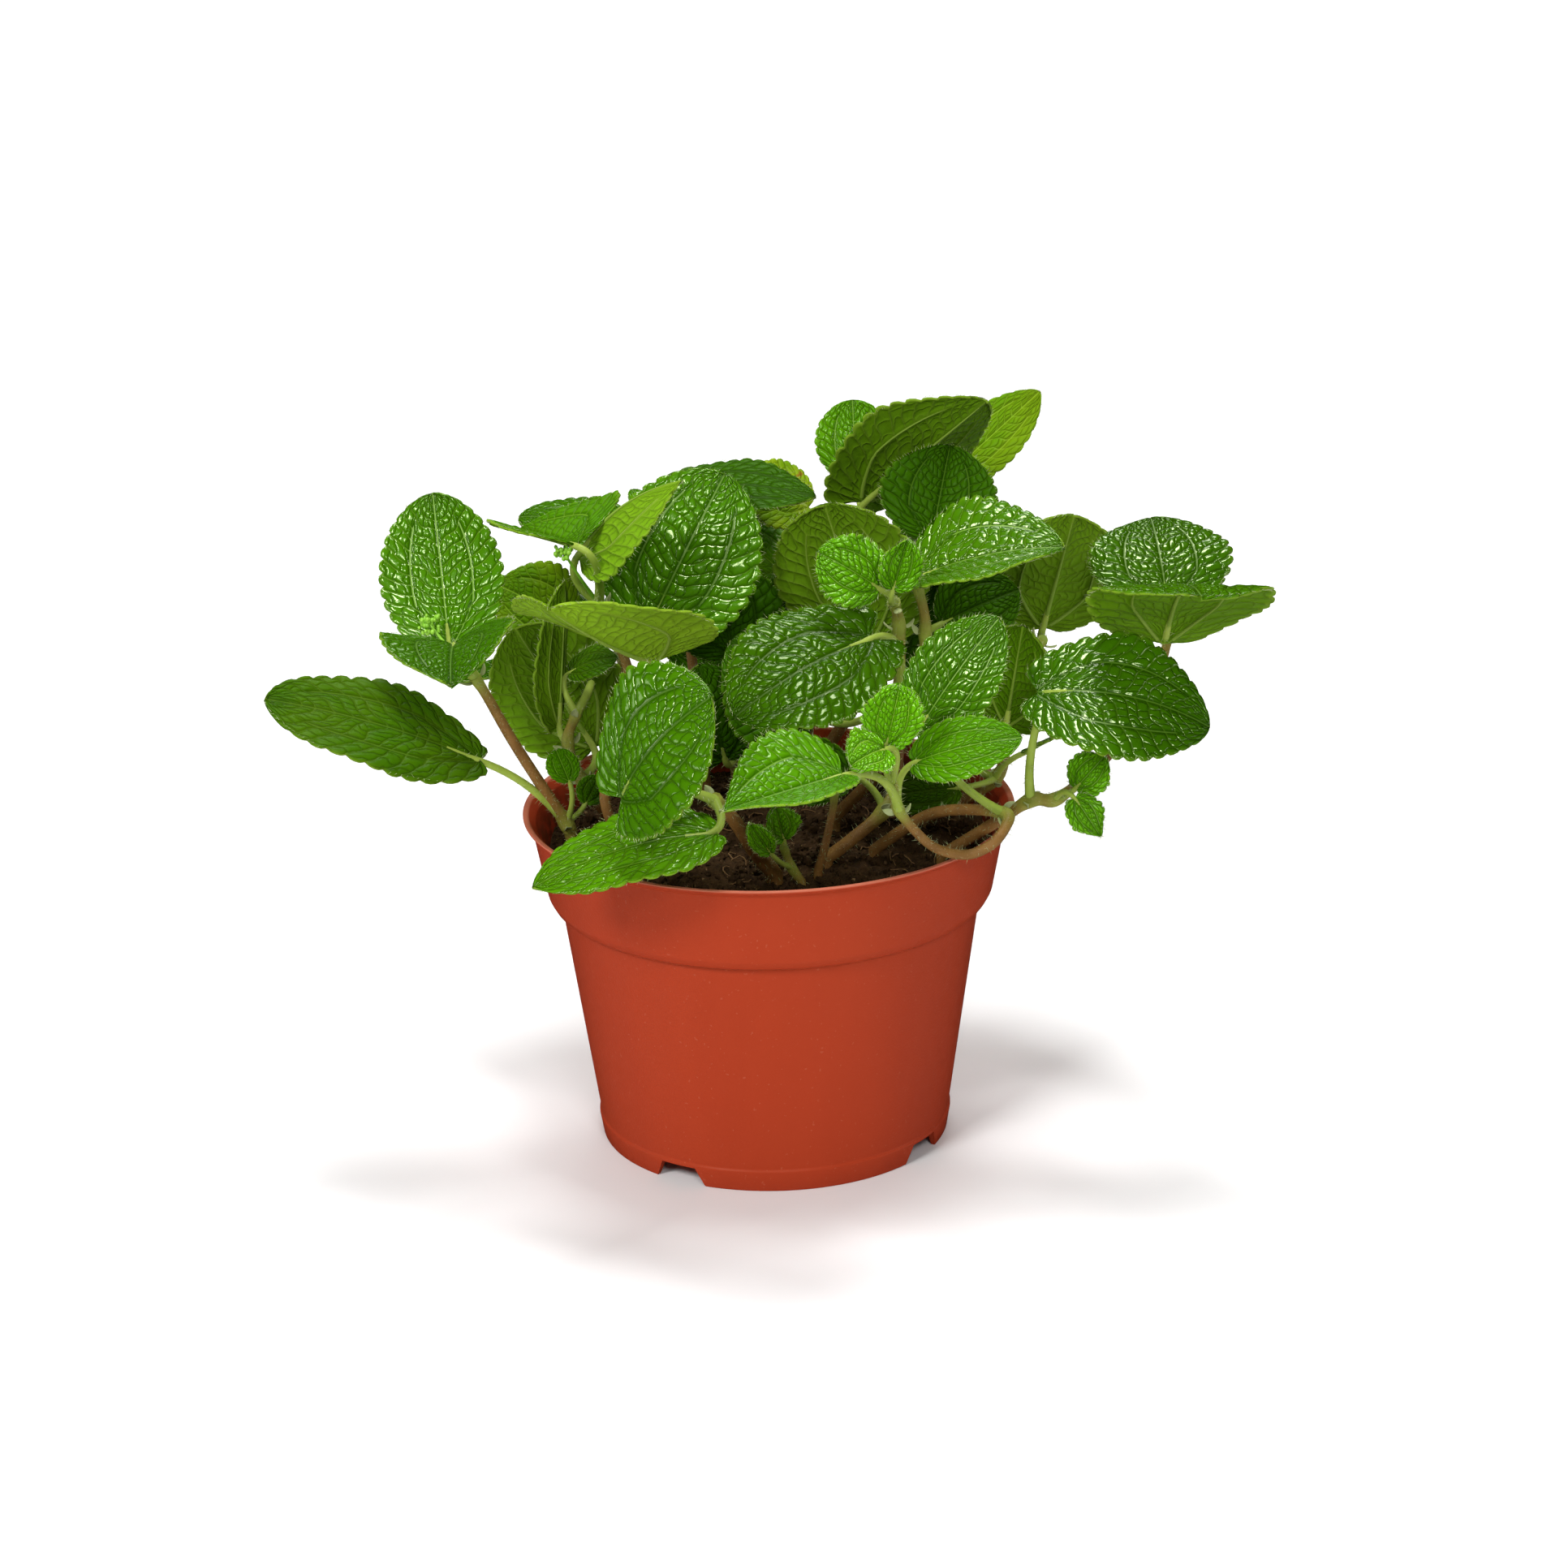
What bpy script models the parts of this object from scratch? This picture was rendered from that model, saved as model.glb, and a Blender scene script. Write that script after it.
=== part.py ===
# Potted creeping charlie: a small-leaved house plant in a thin plastic nursery pot.
# Plant and pot are worked out in millimetres, and the meshes are made in metres, +Z up.
# The photograph looks along +Y, from the front and from above, so the front of the pot is at -Y.
import math

import bmesh
import bpy
import numpy as np

MM = 0.001

# Pot, in millimetres: a 4 inch nursery pot, 104 mm across its rim
RIM_RADIUS = 52.0
POT_HEIGHT = 72.7
FOOT_RADIUS = 37.1
STEP_RADIUS = 44.5
STEP_HEIGHT = 52.7
COLLAR_RADIUS = 50.3
WALL = 1.0
FLOOR_HEIGHT = 4.6
POT_SIDES = 32
NOTCH_ANGLES = (-33.0, 57.0, 147.0, 237.0)
NOTCH_WIDTH = 13.0
NOTCH_HEIGHT = 4.1
DRAIN_RADIUS = 3.0
DRAIN_RING = 24.0

# Soil, in millimetres
SOIL_TOP = 64.5
HOLE_DEPTH = 12.0
GAP = 0.3

# Leaves and stems, in millimetres
BLADE = 0.8
PETIOLE = 1.8
STEM_SIDES = 6
PETIOLE_SIDES = 4
LEAF_SHAPE_START = 0.5

# The photograph's eye, in millimetres: sight lines start here
EYE = np.array((3.34, -942.35, 411.89))


def seen(right, up, depth):
    """Point at y = depth that the photograph shows where it shows (right, 0, up)."""
    through = np.array((right, 0.0, up))
    return EYE + (through - EYE) * (depth - EYE[1]) / -EYE[1]


def unit(vector):
    vector = np.asarray(vector, float)
    return vector / np.linalg.norm(vector)


def heading(azimuth, rise=0.0):
    """Direction with its azimuth from +Y towards +X and its rise, in degrees."""
    a, r = math.radians(azimuth), math.radians(rise)
    return np.array((math.sin(a) * math.cos(r), math.cos(a) * math.cos(r), math.sin(r)))


def make_leaf(node, base, tip, width, face, arch=0.0, fold=0.0, curl=0.0, lobe=0.07, point=0.35,
              lead=None, teeth=None):
    """A leaf on the stem's point number node: face is where its upper side looks."""
    return {"node": node, "base": base, "tip": tip, "width": width, "face": face, "arch": arch,
            "fold": fold, "curl": curl, "lobe": lobe, "point": point, "lead": lead, "teeth": teeth}


def leaf(node, base, tip, width, face, lead=None, **shape):
    """A leaf that the photograph shows: base, tip and lead are (right, up, depth)."""
    lead_point = seen(*lead) if lead else None
    return make_leaf(node, seen(*base), seen(*tip), width, face, lead=lead_point, **shape)


def shoot(foot, path, leaves, thick=2.6):
    """A stem from its foot in the soil through the points of its path, with its leaves."""
    top = np.array((foot[0], foot[1], SOIL_TOP + 2.0))
    return {"foot": foot, "path": [top] + [seen(*p) for p in path], "leaves": leaves, "thick": thick}


def hidden_leaf(node, stem, azimuth, rise, reach, lift, length, width, lean, arch):
    """A leaf placed by rule, reach out from its node, with its upper side turned by lean."""
    out = heading(azimuth)
    along = heading(azimuth, rise)
    up = heading(azimuth, rise + 90.0)
    side = np.cross(along, up)
    angle = math.radians(lean)
    base = stem[node] + reach * out + np.array((0.0, 0.0, lift))
    face = up * math.cos(angle) + side * math.sin(angle)
    return make_leaf(node, base, base + along * length, width, face, arch=arch, point=0.3, teeth=4)


def hidden_shoot(azimuth, foot, reach, top, size, headings):
    """A shoot behind the plant: two low leaves, a pair at the top and a young leaf above them."""
    out = heading(azimuth)

    def place(share, rise_share):
        radius = foot + (reach - foot) * share
        return out * radius + np.array((0.0, 0.0, SOIL_TOP + (top - SOIL_TOP) * rise_share))

    start = place(0.0, 0.0)
    stem = [start + np.array((0.0, 0.0, 2.0)), place(0.35, 0.4), place(0.75, 0.75), place(1.0, 1.0)]
    lowest, low, left, right, young = headings
    leaves = [hidden_leaf(1, stem, lowest, 4.0, 9.0, 3.0, size * 0.75, size * 0.6, 0.0, 2.0),
              hidden_leaf(2, stem, low, -4.0, 9.0, 2.0, size, size * 0.8, 0.0, 3.0)]
    for turn, lean in ((left, -12.0), (right, 12.0)):
        if turn is not None:
            leaves.append(hidden_leaf(3, stem, turn, 12.0, 8.0, 4.0, size * 0.9, size * 0.72, lean, 2.5))
    leaves.append(hidden_leaf(3, stem, young, 40.0, 4.0, 6.0, size * 0.42, size * 0.3, 0.0, 1.0))
    return {"foot": (start[0], start[1]), "path": stem, "leaves": leaves, "thick": 2.6}


# Every leafy stem by its node's name: places are read off the photograph in millimetres
SHOOTS = {
    "shoot_left": shoot(
        (-41.5, -3), [(-43, 69.5, -4), (-49, 80, -7), (-54, 89, -10), (-58.5, 98, -13), (-61, 102.5, -14)],
        [
            leaf(5, (-66, 109, -12), (-68, 142.5, 4), 25.5, (0.05, -0.9, 0.35), arch=-1.5, point=0.15),
            leaf(5, (-65, 109.5, -22), (-66, 100.5, -48), 27, (-0.1, -0.18, 0.98), arch=2, fold=0.41),
            leaf(1, (-61, 84, -10), (-105, 98.5, -18), 25, (0.15, -0.45, 0.88), arch=2, point=0.2),
            leaf(1, (-42, 79, -8), (-44.5, 86, -10), 7, (-0.1, -0.9, 0.4), point=0.1),
            leaf(1, (-38.5, 74, 2), (-35.5, 80, -1), 7, (0.2, -0.9, 0.4), point=0.1),
        ], thick=2.8),
    "shoot_tall_left": shoot(
        (-24, 4), [(-26.5, 86.5, 4), (-28, 99, 4), (-30, 107.5, 3), (-34.5, 118, 0)],
        [
            leaf(4, (-39, 131, -14), (-50.5, 134.5, 1), 32, (0, 0, 1), fold=0.42, lobe=0, point=1.2),
            leaf(4, (-38, 128, -6), (-16.5, 144, -11), 20, (0.95, -0.15, 0.28), arch=-3, fold=0.7,
                 lobe=0.04, point=1.2),
            leaf(4, (-25, 111, 6), (-7.5, 145.5, 16), 33, (0.05, -0.88, 0.45), arch=3, point=0.2),
        ]),
    "shoot_inner_left": shoot(
        (-30, -12), [(-34.5, 76.5, -12), (-26.5, 90, -10), (-25.5, 99, -8)],
        [
            leaf(3, (-23.5, 105, -6.5), (-44.5, 117, -36.5), 44, (-0.06, 0.1, 0.99), arch=-1, fold=0.45,
                 curl=-4, lobe=0.02, point=0.5),
        ]),
    "shoot_behind_left": shoot(
        (-34, 10), [(-39.5, 79.5, 8), (-42, 87.5, 4), (-40, 94, 6)],
        [
            leaf(2, (-44, 91.5, 7), (-41.5, 123, 6), 14, (-0.7, 0.35, 0.5), fold=0.35, point=0.4),
            leaf(1, (-36.5, 86.5, 17), (-52, 113, 19), 29, (-0.1, 0.95, 0.25), point=0.2, teeth=6),
            leaf(3, (-41, 103, 9), (-31, 106, 8), 11, (0.1, -0.35, 0.93), arch=1, teeth=4),
            leaf(3, (-41, 113, 30), (-55.5, 122.5, 30), 21, (-0.1, -0.75, 0.65), arch=2),
        ]),
    "shoot_front": shoot(
        (1, -25), [(-3, 62, -31), (-7.5, 69.5, -38), (-11.5, 74, -44)],
        [
            leaf(3, (-31, 75, -57), (-11.5, 97, -67), 36, (-0.13, -0.62, 0.77), arch=3, curl=1,
                 lobe=0.19, point=0.1, lead=(-22, 79, -47)),
            leaf(3, (-11.5, 66.5, -50), (-50.5, 55, -56), 22, (-0.1, -0.35, 0.93), arch=3, point=0.5),
        ], thick=3.6),
    "shoot_young_front": shoot(
        (6.5, -30), [(4.5, 58.5, -31), (3, 63, -32)],
        [
            leaf(2, (3, 65, -34), (1.5, 72, -36), 8, (0.3, -0.9, 0.3), fold=0.3),
            leaf(1, (0, 62, -38), (-4, 68.5, -43), 5, (-0.2, -0.8, 0.5), fold=0.3),
        ], thick=2.0),
    "shoot_thin_front": shoot(
        (10, -24.5), [(11.5, 62, -25), (13.5, 71, -24), (14, 75.5, -24)],
        [leaf(3, (13, 77, -30), (6, 78.5, -35), 8, (0, 0.4, 0.9))], thick=2.0),
    "shoot_centre": shoot(
        (12, -16.5), [(17.5, 64.5, -16), (24.5, 71, -12), (27, 78, -8), (28, 97.5, -6), (28, 112, -6),
                      (27, 117, -12)],
        [
            leaf(4, (22, 109, -20), (-6.5, 92.5, -38), 30.5, (-0.25, -0.7, 0.67), arch=3, lobe=0.2,
                 point=0.2),
            leaf(6, (24, 120, -17), (11.5, 128, -18), 14.5, (-0.1, -0.85, 0.5), arch=2, point=0.1),
            leaf(6, (27, 120, -20), (30, 130.5, -21), 9, (0.3, -0.7, 0.6), fold=0.3),
            leaf(5, (22, 109, 12), (13, 138.5, 7), 34, (0.1, 0.7, 0.7), curl=1, lobe=0.12, point=0.2),
            leaf(4, (10.5, 92.5, 4), (-7, 109, 4), 30, (-0.1, -0.75, 0.65), arch=2, teeth=6),
            leaf(2, (17, 79, -9), (-4, 81, -10), 15, (0, -0.85, 0.5), arch=2, teeth=4),
        ], thick=3.0),
    "shoot_rim": shoot(
        (22, -12), [(31.5, 68.5, -16), (37.5, 70.5, -22), (45, 70.5, -27), (50, 69.5, -30),
                    (50.5, 67.5, -33), (47.5, 63, -37), (42, 60.5, -38), (35.5, 62, -40),
                    (31, 66, -42), (27.5, 71, -45), (26, 77, -47)],
        [
            leaf(11, (25, 85.5, -50), (28, 98.5, -52), 12, (0.1, -0.9, 0.4), arch=1, point=0.1),
            leaf(11, (24.5, 84.5, -55), (17.5, 81, -60), 11, (-0.1, -0.75, 0.66), arch=1, fold=0.3,
                 point=0.3),
            leaf(10, (15.5, 79, -61), (-9.5, 71.5, -73), 26, (-0.1, -0.3, 0.95), fold=0.45, point=1.1),
            leaf(10, (31, 81.5, -44), (53.5, 86.5, -48), 13.5, (0, -0.75, 0.66), arch=2, point=0.4),
            leaf(4, (31.5, 88, -38), (49, 113, -34), 19, (-0.2, -0.85, 0.5), arch=2, point=0.3,
                 lead=(36.5, 77.5, -30)),
        ]),
    "shoot_right": shoot(
        (36, -16), [(48.5, 68, -24), (55.5, 72.5, -28), (60.5, 72.5, -27), (66, 76.5, -26), (72.5, 83, -24),
                    (81, 96.5, -13), (85, 110.5, -6)],
        [
            leaf(2, (57, 96.5, -32), (93, 88, -34), 30, (0.1, -0.62, 0.78), arch=5, lobe=0.12, point=0.3,
                 lead=(54, 82.5, -30)),
            leaf(7, (84, 115.5, -3), (80.5, 134, 14), 30, (0, -0.3, 0.95), arch=2, point=0.2),
            leaf(7, (83.5, 107, -19), (91, 117, -50), 37.5, (0.03, 0.3, 0.95), arch=6, curl=-1, point=0.1),
            leaf(3, (65, 72.5, -34), (70.3, 64, -37), 8, (0.3, -0.8, 0.4), lobe=0.1, point=0.9),
            leaf(3, (65, 75, -29), (71, 82, -31), 9, (0.1, -0.8, 0.5)),
        ]),
    "shoot_shade_right": shoot(
        (34, 6), [(48, 77.5, 6), (50.5, 88, 6), (54, 102.5, 12), (58, 108, 14)],
        [
            leaf(4, (58, 111, 22), (64.5, 135, 17), 32, (0, 0.6, 0.8), point=0.3),
            leaf(2, (50.5, 89.5, -4), (54, 111, -12), 22, (0.5, 0.75, 0.4), point=0.4),
            leaf(1, (36.5, 89.5, 1), (46.5, 93, 4), 12, (0, -0.7, 0.7)),
            leaf(1, (40, 75.5, -3), (25, 74, -5), 11, (0, -0.85, 0.5), arch=1),
            leaf(1, (54, 83.5, 0), (62.5, 87.5, 0), 12, (0, 0.3, 0.95)),
        ]),
    "shoot_upper": shoot(
        (14, 8), [(30.5, 88.5, 8), (33.5, 110, -1), (32, 120.5, -3)],
        [
            leaf(3, (31.5, 122, -8), (62.5, 128, -12), 29, (0, -0.3, 0.95), arch=2, fold=0.35, point=0.5),
            leaf(3, (35, 130.5, 14), (39, 150.5, 24), 25, (-0.05, -0.75, 0.66), fold=0.3, point=0.4,
                 lead=(39.5, 124, 4)),
            leaf(2, (37, 112, 6), (53, 119, 7), 18, (0, -0.85, 0.5), arch=2, teeth=4),
        ], thick=2.8),
    "shoot_back_top": shoot(
        (6, 24), [(25, 106.5, 26), (22, 126, 30), (21.5, 133.5, 36)],
        [
            leaf(3, (21, 139, 32), (46.5, 160, 24), 33, (-0.3, 0.75, 0.55), fold=0.25, lobe=0.2, point=0.5),
            leaf(3, (19.5, 144, 50), (19, 160.5, 56), 17, (0, -0.8, 0.6), point=0.1, lead=(20.5, 135, 52)),
            leaf(2, (9.5, 138, 46), (-3.5, 144.5, 46), 20, (-0.3, -0.4, 0.87), lead=(17, 128, 46)),
            leaf(1, (27, 101, 20), (36, 121, 16), 22, (0, -0.85, 0.5), arch=1, teeth=4),
        ], thick=2.8),
    "shoot_far_right": shoot(
        (17, 33), [(36, 113.5, 34), (39, 133.5, 44)],
        [
            leaf(2, (38, 143.5, 52), (57.5, 161.5, 56), 15, (-0.2, -0.75, 0.6), point=0.4),
            leaf(1, (36, 121, 30), (44, 137, 27), 23, (0.05, -0.85, 0.5), arch=2, teeth=4),
        ]),
    "shoot_far_left": shoot(
        (-6, 22), [(-7, 84, 22), (-7.5, 107.5, 24), (-7, 127, 24)],
        [
            leaf(3, (-20, 142.5, 34), (11, 140, 27), 22, (0.1, -0.25, 0.96), arch=2, point=0.4,
                 lead=(-14, 137, 33)),
            leaf(2, (-7, 106.5, 19), (-10, 127, 20), 25, (0, -0.75, 0.65), arch=2, teeth=4),
            leaf(2, (-2, 109, 28), (18, 115, 33), 24, (0.1, -0.8, 0.6), arch=2, teeth=4),
            leaf(1, (-9, 83, 14), (-14, 104, 10), 24, (0, -0.85, 0.5), arch=2, teeth=4),
        ]),
    "shoot_back_1": hidden_shoot(-46, 34, 44, 98, 30, (-28, -74, None, -46, 20)),
    "shoot_back_2": hidden_shoot(-24, 34, 44, 114, 31, (8, -12, -82, 30, -50)),
    "shoot_back_3": hidden_shoot(14, 34, 43, 104, 31, (38, 14, -42, 68, 20)),
    "shoot_back_4": hidden_shoot(62, 34, 46, 94, 31, (48, 78, 40, None, 20)),
}


def leaf_frame(spec):
    """Leaf's own directions: along its midrib, out of its upper side, and across."""
    along = unit(spec["tip"] - spec["base"])
    face = np.asarray(spec["face"], float)
    up = unit(face - np.dot(face, along) * along)
    return along, up, np.cross(along, up)


def half_width(t, point):
    """Share of the half width at t along the leaf: point 0 is round and 1 is sharp."""
    start, end = LEAF_SHAPE_START, 0.5 + 0.45 * point
    widest = start / (start + end)
    return t ** start * (1.0 - t) ** end / (widest ** start * (1.0 - widest) ** end)


def leaf_point(spec, t, across):
    """Point of the leaf at t along it (0 to 1) and across it (-1 to 1 at the margins)."""
    along, up, side = leaf_frame(spec)
    length = np.linalg.norm(spec["tip"] - spec["base"])
    half = spec["width"] / 2.0
    y = across * half_width(min(max(t, 0.0), 1.0), spec["point"]) * half
    back = spec["lobe"] * across ** 2 * max(0.0, 1.0 - t / 0.35) ** 2
    z = spec["arch"] * 4.0 * t * (1.0 - t) + spec["fold"] * abs(y) + spec["curl"] * (y / half) ** 2
    return spec["base"] + length * (t - back) * along + y * side + z * up


def smooth_path(points, steps):
    """Points of a smooth curve through the given points."""
    points = [np.asarray(p, float) for p in points]
    ends = [2 * points[0] - points[1]] + points + [2 * points[-1] - points[-2]]
    path = []
    for i in range(1, len(ends) - 2):
        a, b, c, d = ends[i - 1:i + 3]
        for k in range(steps):
            u = k / steps
            path.append(0.5 * (2 * b + (c - a) * u + (2 * a - 5 * b + 4 * c - d) * u ** 2
                               + (3 * b - a - 3 * c + d) * u ** 3))
    path.append(points[-1])
    return path


def petiole_path(start, spec, steps):
    """Leaf stalk from its node on the stem to the leaf and a little way along its underside."""
    along, up, side = leaf_frame(spec)
    reach = np.linalg.norm(spec["base"] - start)
    lead = spec["lead"] if spec["lead"] is not None else spec["base"] - along * reach * 0.45
    end = leaf_point(spec, 0.05, 0.0) - 0.4 * up
    path = []
    for k in range(steps + 1):
        u = k / steps
        path.append((1 - u) ** 2 * start + 2 * u * (1 - u) * lead + u * u * end)
    path.append(leaf_point(spec, 0.16, 0.0) - 0.3 * up)
    return path


def stem_radius(thick, share):
    return thick / 2.0 * (1.0 - 0.28 * share)


def stem_path(spec, steps):
    """Stem from the bottom of its hole in the soil, straight up, then along its path."""
    foot = np.array((spec["foot"][0], spec["foot"][1], SOIL_TOP - HOLE_DEPTH + GAP))
    return [foot] + smooth_path(spec["path"], steps)


def remove_objects():
    for item in list(bpy.data.objects):
        bpy.data.objects.remove(item, do_unlink=True)


def make_material(name, colour, roughness):
    material = bpy.data.materials.new(name)
    material.use_nodes = True
    shader = material.node_tree.nodes["Principled BSDF"]
    shader.inputs["Base Color"].default_value = (*colour, 1.0)
    shader.inputs["Roughness"].default_value = roughness
    shader.inputs["Metallic"].default_value = 0.0
    return material


def make_object(name, bm, material=None, collection=None):
    """Object of a finished bmesh in millimetres, with its normals outward."""
    bmesh.ops.recalc_face_normals(bm, faces=bm.faces[:])
    bmesh.ops.scale(bm, vec=(MM, MM, MM), verts=bm.verts[:])
    mesh = bpy.data.meshes.new(name)
    bm.to_mesh(mesh)
    bm.free()
    if material:
        mesh.materials.append(material)
    item = bpy.data.objects.new(name, mesh)
    (collection or bpy.context.scene.collection).objects.link(item)
    return item


def apply_boolean(target, operation, collection, solver):
    """Cuts or joins a collection's objects with the target, then removes them."""
    modifier = target.modifiers.new(operation.lower(), "BOOLEAN")
    modifier.operation = operation
    modifier.solver = solver
    modifier.operand_type = "COLLECTION"
    modifier.collection = collection
    bpy.context.view_layer.objects.active = target
    bpy.ops.object.modifier_apply(modifier=modifier.name)
    for item in list(collection.objects):
        bpy.data.objects.remove(item, do_unlink=True)
    bpy.data.collections.remove(collection)


def new_collection(name):
    collection = bpy.data.collections.new(name)
    bpy.context.scene.collection.children.link(collection)
    return collection


def as_cutter(item):
    item.hide_render = True
    item.display_type = "WIRE"
    return item


def lathe(profile, sides):
    """Closed solid of revolution: profile is (radius, height) from the axis back to the axis."""
    bm = bmesh.new()
    rings = []
    for radius, height in profile:
        if radius == 0.0:
            rings.append([bm.verts.new((0.0, 0.0, height))])
        else:
            turns = [2.0 * math.pi * k / sides for k in range(sides)]
            places = [(radius * math.cos(a), radius * math.sin(a), height) for a in turns]
            rings.append([bm.verts.new(place) for place in places])
    for low, high in zip(rings, rings[1:]):
        for k in range(sides):
            corners = [low[k % len(low)], low[(k + 1) % len(low)]]
            corners += [high[(k + 1) % len(high)], high[k % len(high)]]
            bm.faces.new(list(dict.fromkeys(corners)))
    return bm


def tube(path, radii, sides):
    """Closed tube along a path, with a ring at each of its points."""
    bm = bmesh.new()
    rings = []
    across = None
    for k, point in enumerate(path):
        ahead = unit(path[min(k + 1, len(path) - 1)] - path[max(k - 1, 0)])
        if across is None:
            across = np.cross(ahead, (0.0, 1.0, 0.0) if abs(ahead[1]) < 0.8 else (1.0, 0.0, 0.0))
        across = unit(across - np.dot(across, ahead) * ahead)
        other = np.cross(ahead, across)
        ring = []
        for i in range(sides):
            a = 2.0 * math.pi * i / sides
            ring.append(bm.verts.new(point + radii[k] * (math.cos(a) * across + math.sin(a) * other)))
        rings.append(ring)
    for low, high in zip(rings, rings[1:]):
        for i in range(sides):
            j = (i + 1) % sides
            bm.faces.new((low[i], low[j], high[j], high[i]))
    bm.faces.new(rings[0][::-1])
    bm.faces.new(rings[-1])
    return bm


def strip_triangles(first, second):
    """Triangles between two rows of points that share their (t, index) order."""
    triangles = []
    i = j = 0
    while i < len(first) - 1 or j < len(second) - 1:
        step_first = j == len(second) - 1 or (i < len(first) - 1 and first[i + 1][0] <= second[j + 1][0])
        if step_first:
            triangles.append((first[i][1], first[i + 1][1], second[j][1]))
            i += 1
        else:
            triangles.append((first[i][1], second[j + 1][1], second[j][1]))
            j += 1
    return [t for t in triangles if len(set(t)) == 3]


def tooth_count(width):
    """Scallops down one margin: fewer on the young leaves."""
    return 7 if width > 25 else 5 if width > 13 else 4


def leaf_solid(spec):
    """Thin closed blade with a scalloped margin, triangulated alike on both sides."""
    teeth = spec["teeth"] or tooth_count(spec["width"])
    along, up, side = leaf_frame(spec)
    places = [(0.0, 0.0)]
    middle = [(0.0, 0)]
    for k in range(1, teeth // 2 + 2):
        middle.append((k / (teeth // 2 + 2), len(places)))
        places.append((middle[-1][0], 0.0))
    tip = len(places)
    places.append((1.0, 0.0))
    middle.append((1.0, tip))
    margins = []
    for sign in (1.0, -1.0):
        margin = [(0.0, 0)]
        for k in range(1, 2 * teeth + 1):
            t = 0.5 - 0.5 * math.cos(math.pi * k / (2 * teeth + 1))
            reach = 1.02 if k % 2 else 0.93
            margin.append((t, len(places)))
            places.append((t, sign * reach))
        margin.append((1.0, tip))
        margins.append(margin)
    bm = bmesh.new()
    middles = [leaf_point(spec, t, across) for t, across in places]
    top = [bm.verts.new(p + up * BLADE / 2) for p in middles]
    bottom = [bm.verts.new(p - up * BLADE / 2) for p in middles]
    for margin in margins:
        for a, b, c in strip_triangles(middle, margin):
            bm.faces.new((top[a], top[b], top[c]))
            bm.faces.new((bottom[c], bottom[b], bottom[a]))
        for (_, a), (_, b) in zip(margin, margin[1:]):
            bm.faces.new((top[a], top[b], bottom[b]))
            bm.faces.new((top[a], bottom[b], bottom[a]))
    return bm


def build_shoot(name, spec, material):
    """One leafy stem: stem, leaf stalks and leaves fused into one closed body."""
    path = stem_path(spec, 2)
    radii = [stem_radius(spec["thick"], k / (len(path) - 1)) for k in range(len(path))]
    stem = make_object(name, tube(path, radii, STEM_SIDES), material)
    parts = new_collection(name + "_parts")
    for number, item in enumerate(spec["leaves"]):
        start = spec["path"][item["node"]]
        slim = min(1.0, 0.55 + item["width"] / 50.0)
        stalk = petiole_path(start, item, 4)
        thickness = [PETIOLE / 2 * slim] * (len(stalk) - 1) + [0.5]
        make_object(f"{name}_stalk_{number}", tube(stalk, thickness, PETIOLE_SIDES), material, parts)
        make_object(f"{name}_leaf_{number}", leaf_solid(item), material, parts)
    apply_boolean(stem, "UNION", parts, "MANIFOLD")
    return stem


def pot_profile():
    """Pot's section from the underside of its floor, out, up, over the rim and down inside."""
    inner_step = STEP_RADIUS - WALL
    return [
        (0.0, FLOOR_HEIGHT), (FOOT_RADIUS - WALL, FLOOR_HEIGHT),
        (FOOT_RADIUS - WALL, 0.0), (FOOT_RADIUS, 0.0),
        (FOOT_RADIUS + 0.8, FLOOR_HEIGHT), (FOOT_RADIUS + 0.4, FLOOR_HEIGHT + 0.5),
        (STEP_RADIUS, STEP_HEIGHT), (46.4, STEP_HEIGHT + 1.0), (47.3, STEP_HEIGHT + 2.6),
        (COLLAR_RADIUS, POT_HEIGHT - 1.8), (RIM_RADIUS, POT_HEIGHT - 0.5), (RIM_RADIUS, POT_HEIGHT),
        (RIM_RADIUS - WALL, POT_HEIGHT), (COLLAR_RADIUS - WALL, POT_HEIGHT - 1.8),
        (46.3, STEP_HEIGHT + 2.6), (45.4, STEP_HEIGHT + 1.6), (inner_step, STEP_HEIGHT + 0.8),
        (FOOT_RADIUS - 0.6, FLOOR_HEIGHT + WALL), (0.0, FLOOR_HEIGHT + WALL),
    ]


def notch_cutter(angle, collection):
    """Slanted block through the foot's skirt: angle is from the front towards +X."""
    half, slant = NOTCH_WIDTH / 2.0, 1.2
    outline = [(-half, -1.0), (half, -1.0), (half - slant, NOTCH_HEIGHT - slant),
               (half - 2 * slant, NOTCH_HEIGHT), (2 * slant - half, NOTCH_HEIGHT),
               (slant - half, NOTCH_HEIGHT - slant)]
    a = math.radians(angle)
    out = np.array((math.sin(a), -math.cos(a), 0.0))
    across = np.array((math.cos(a), math.sin(a), 0.0))
    bm = bmesh.new()
    near = [bm.verts.new(out * (FOOT_RADIUS - 5) + across * x + np.array((0, 0, z))) for x, z in outline]
    far = [bm.verts.new(out * (FOOT_RADIUS + 5) + across * x + np.array((0, 0, z))) for x, z in outline]
    for i in range(len(outline)):
        j = (i + 1) % len(outline)
        bm.faces.new((near[i], near[j], far[j], far[i]))
    bm.faces.new(near)
    bm.faces.new(far)
    return as_cutter(make_object(f"notch_{angle:.0f}", bm, collection=collection))


def cylinder(centre, bottom, top, radius, sides):
    low = np.array((centre[0], centre[1], bottom))
    high = np.array((centre[0], centre[1], top))
    return tube([low, high], [radius, radius], sides)


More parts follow.
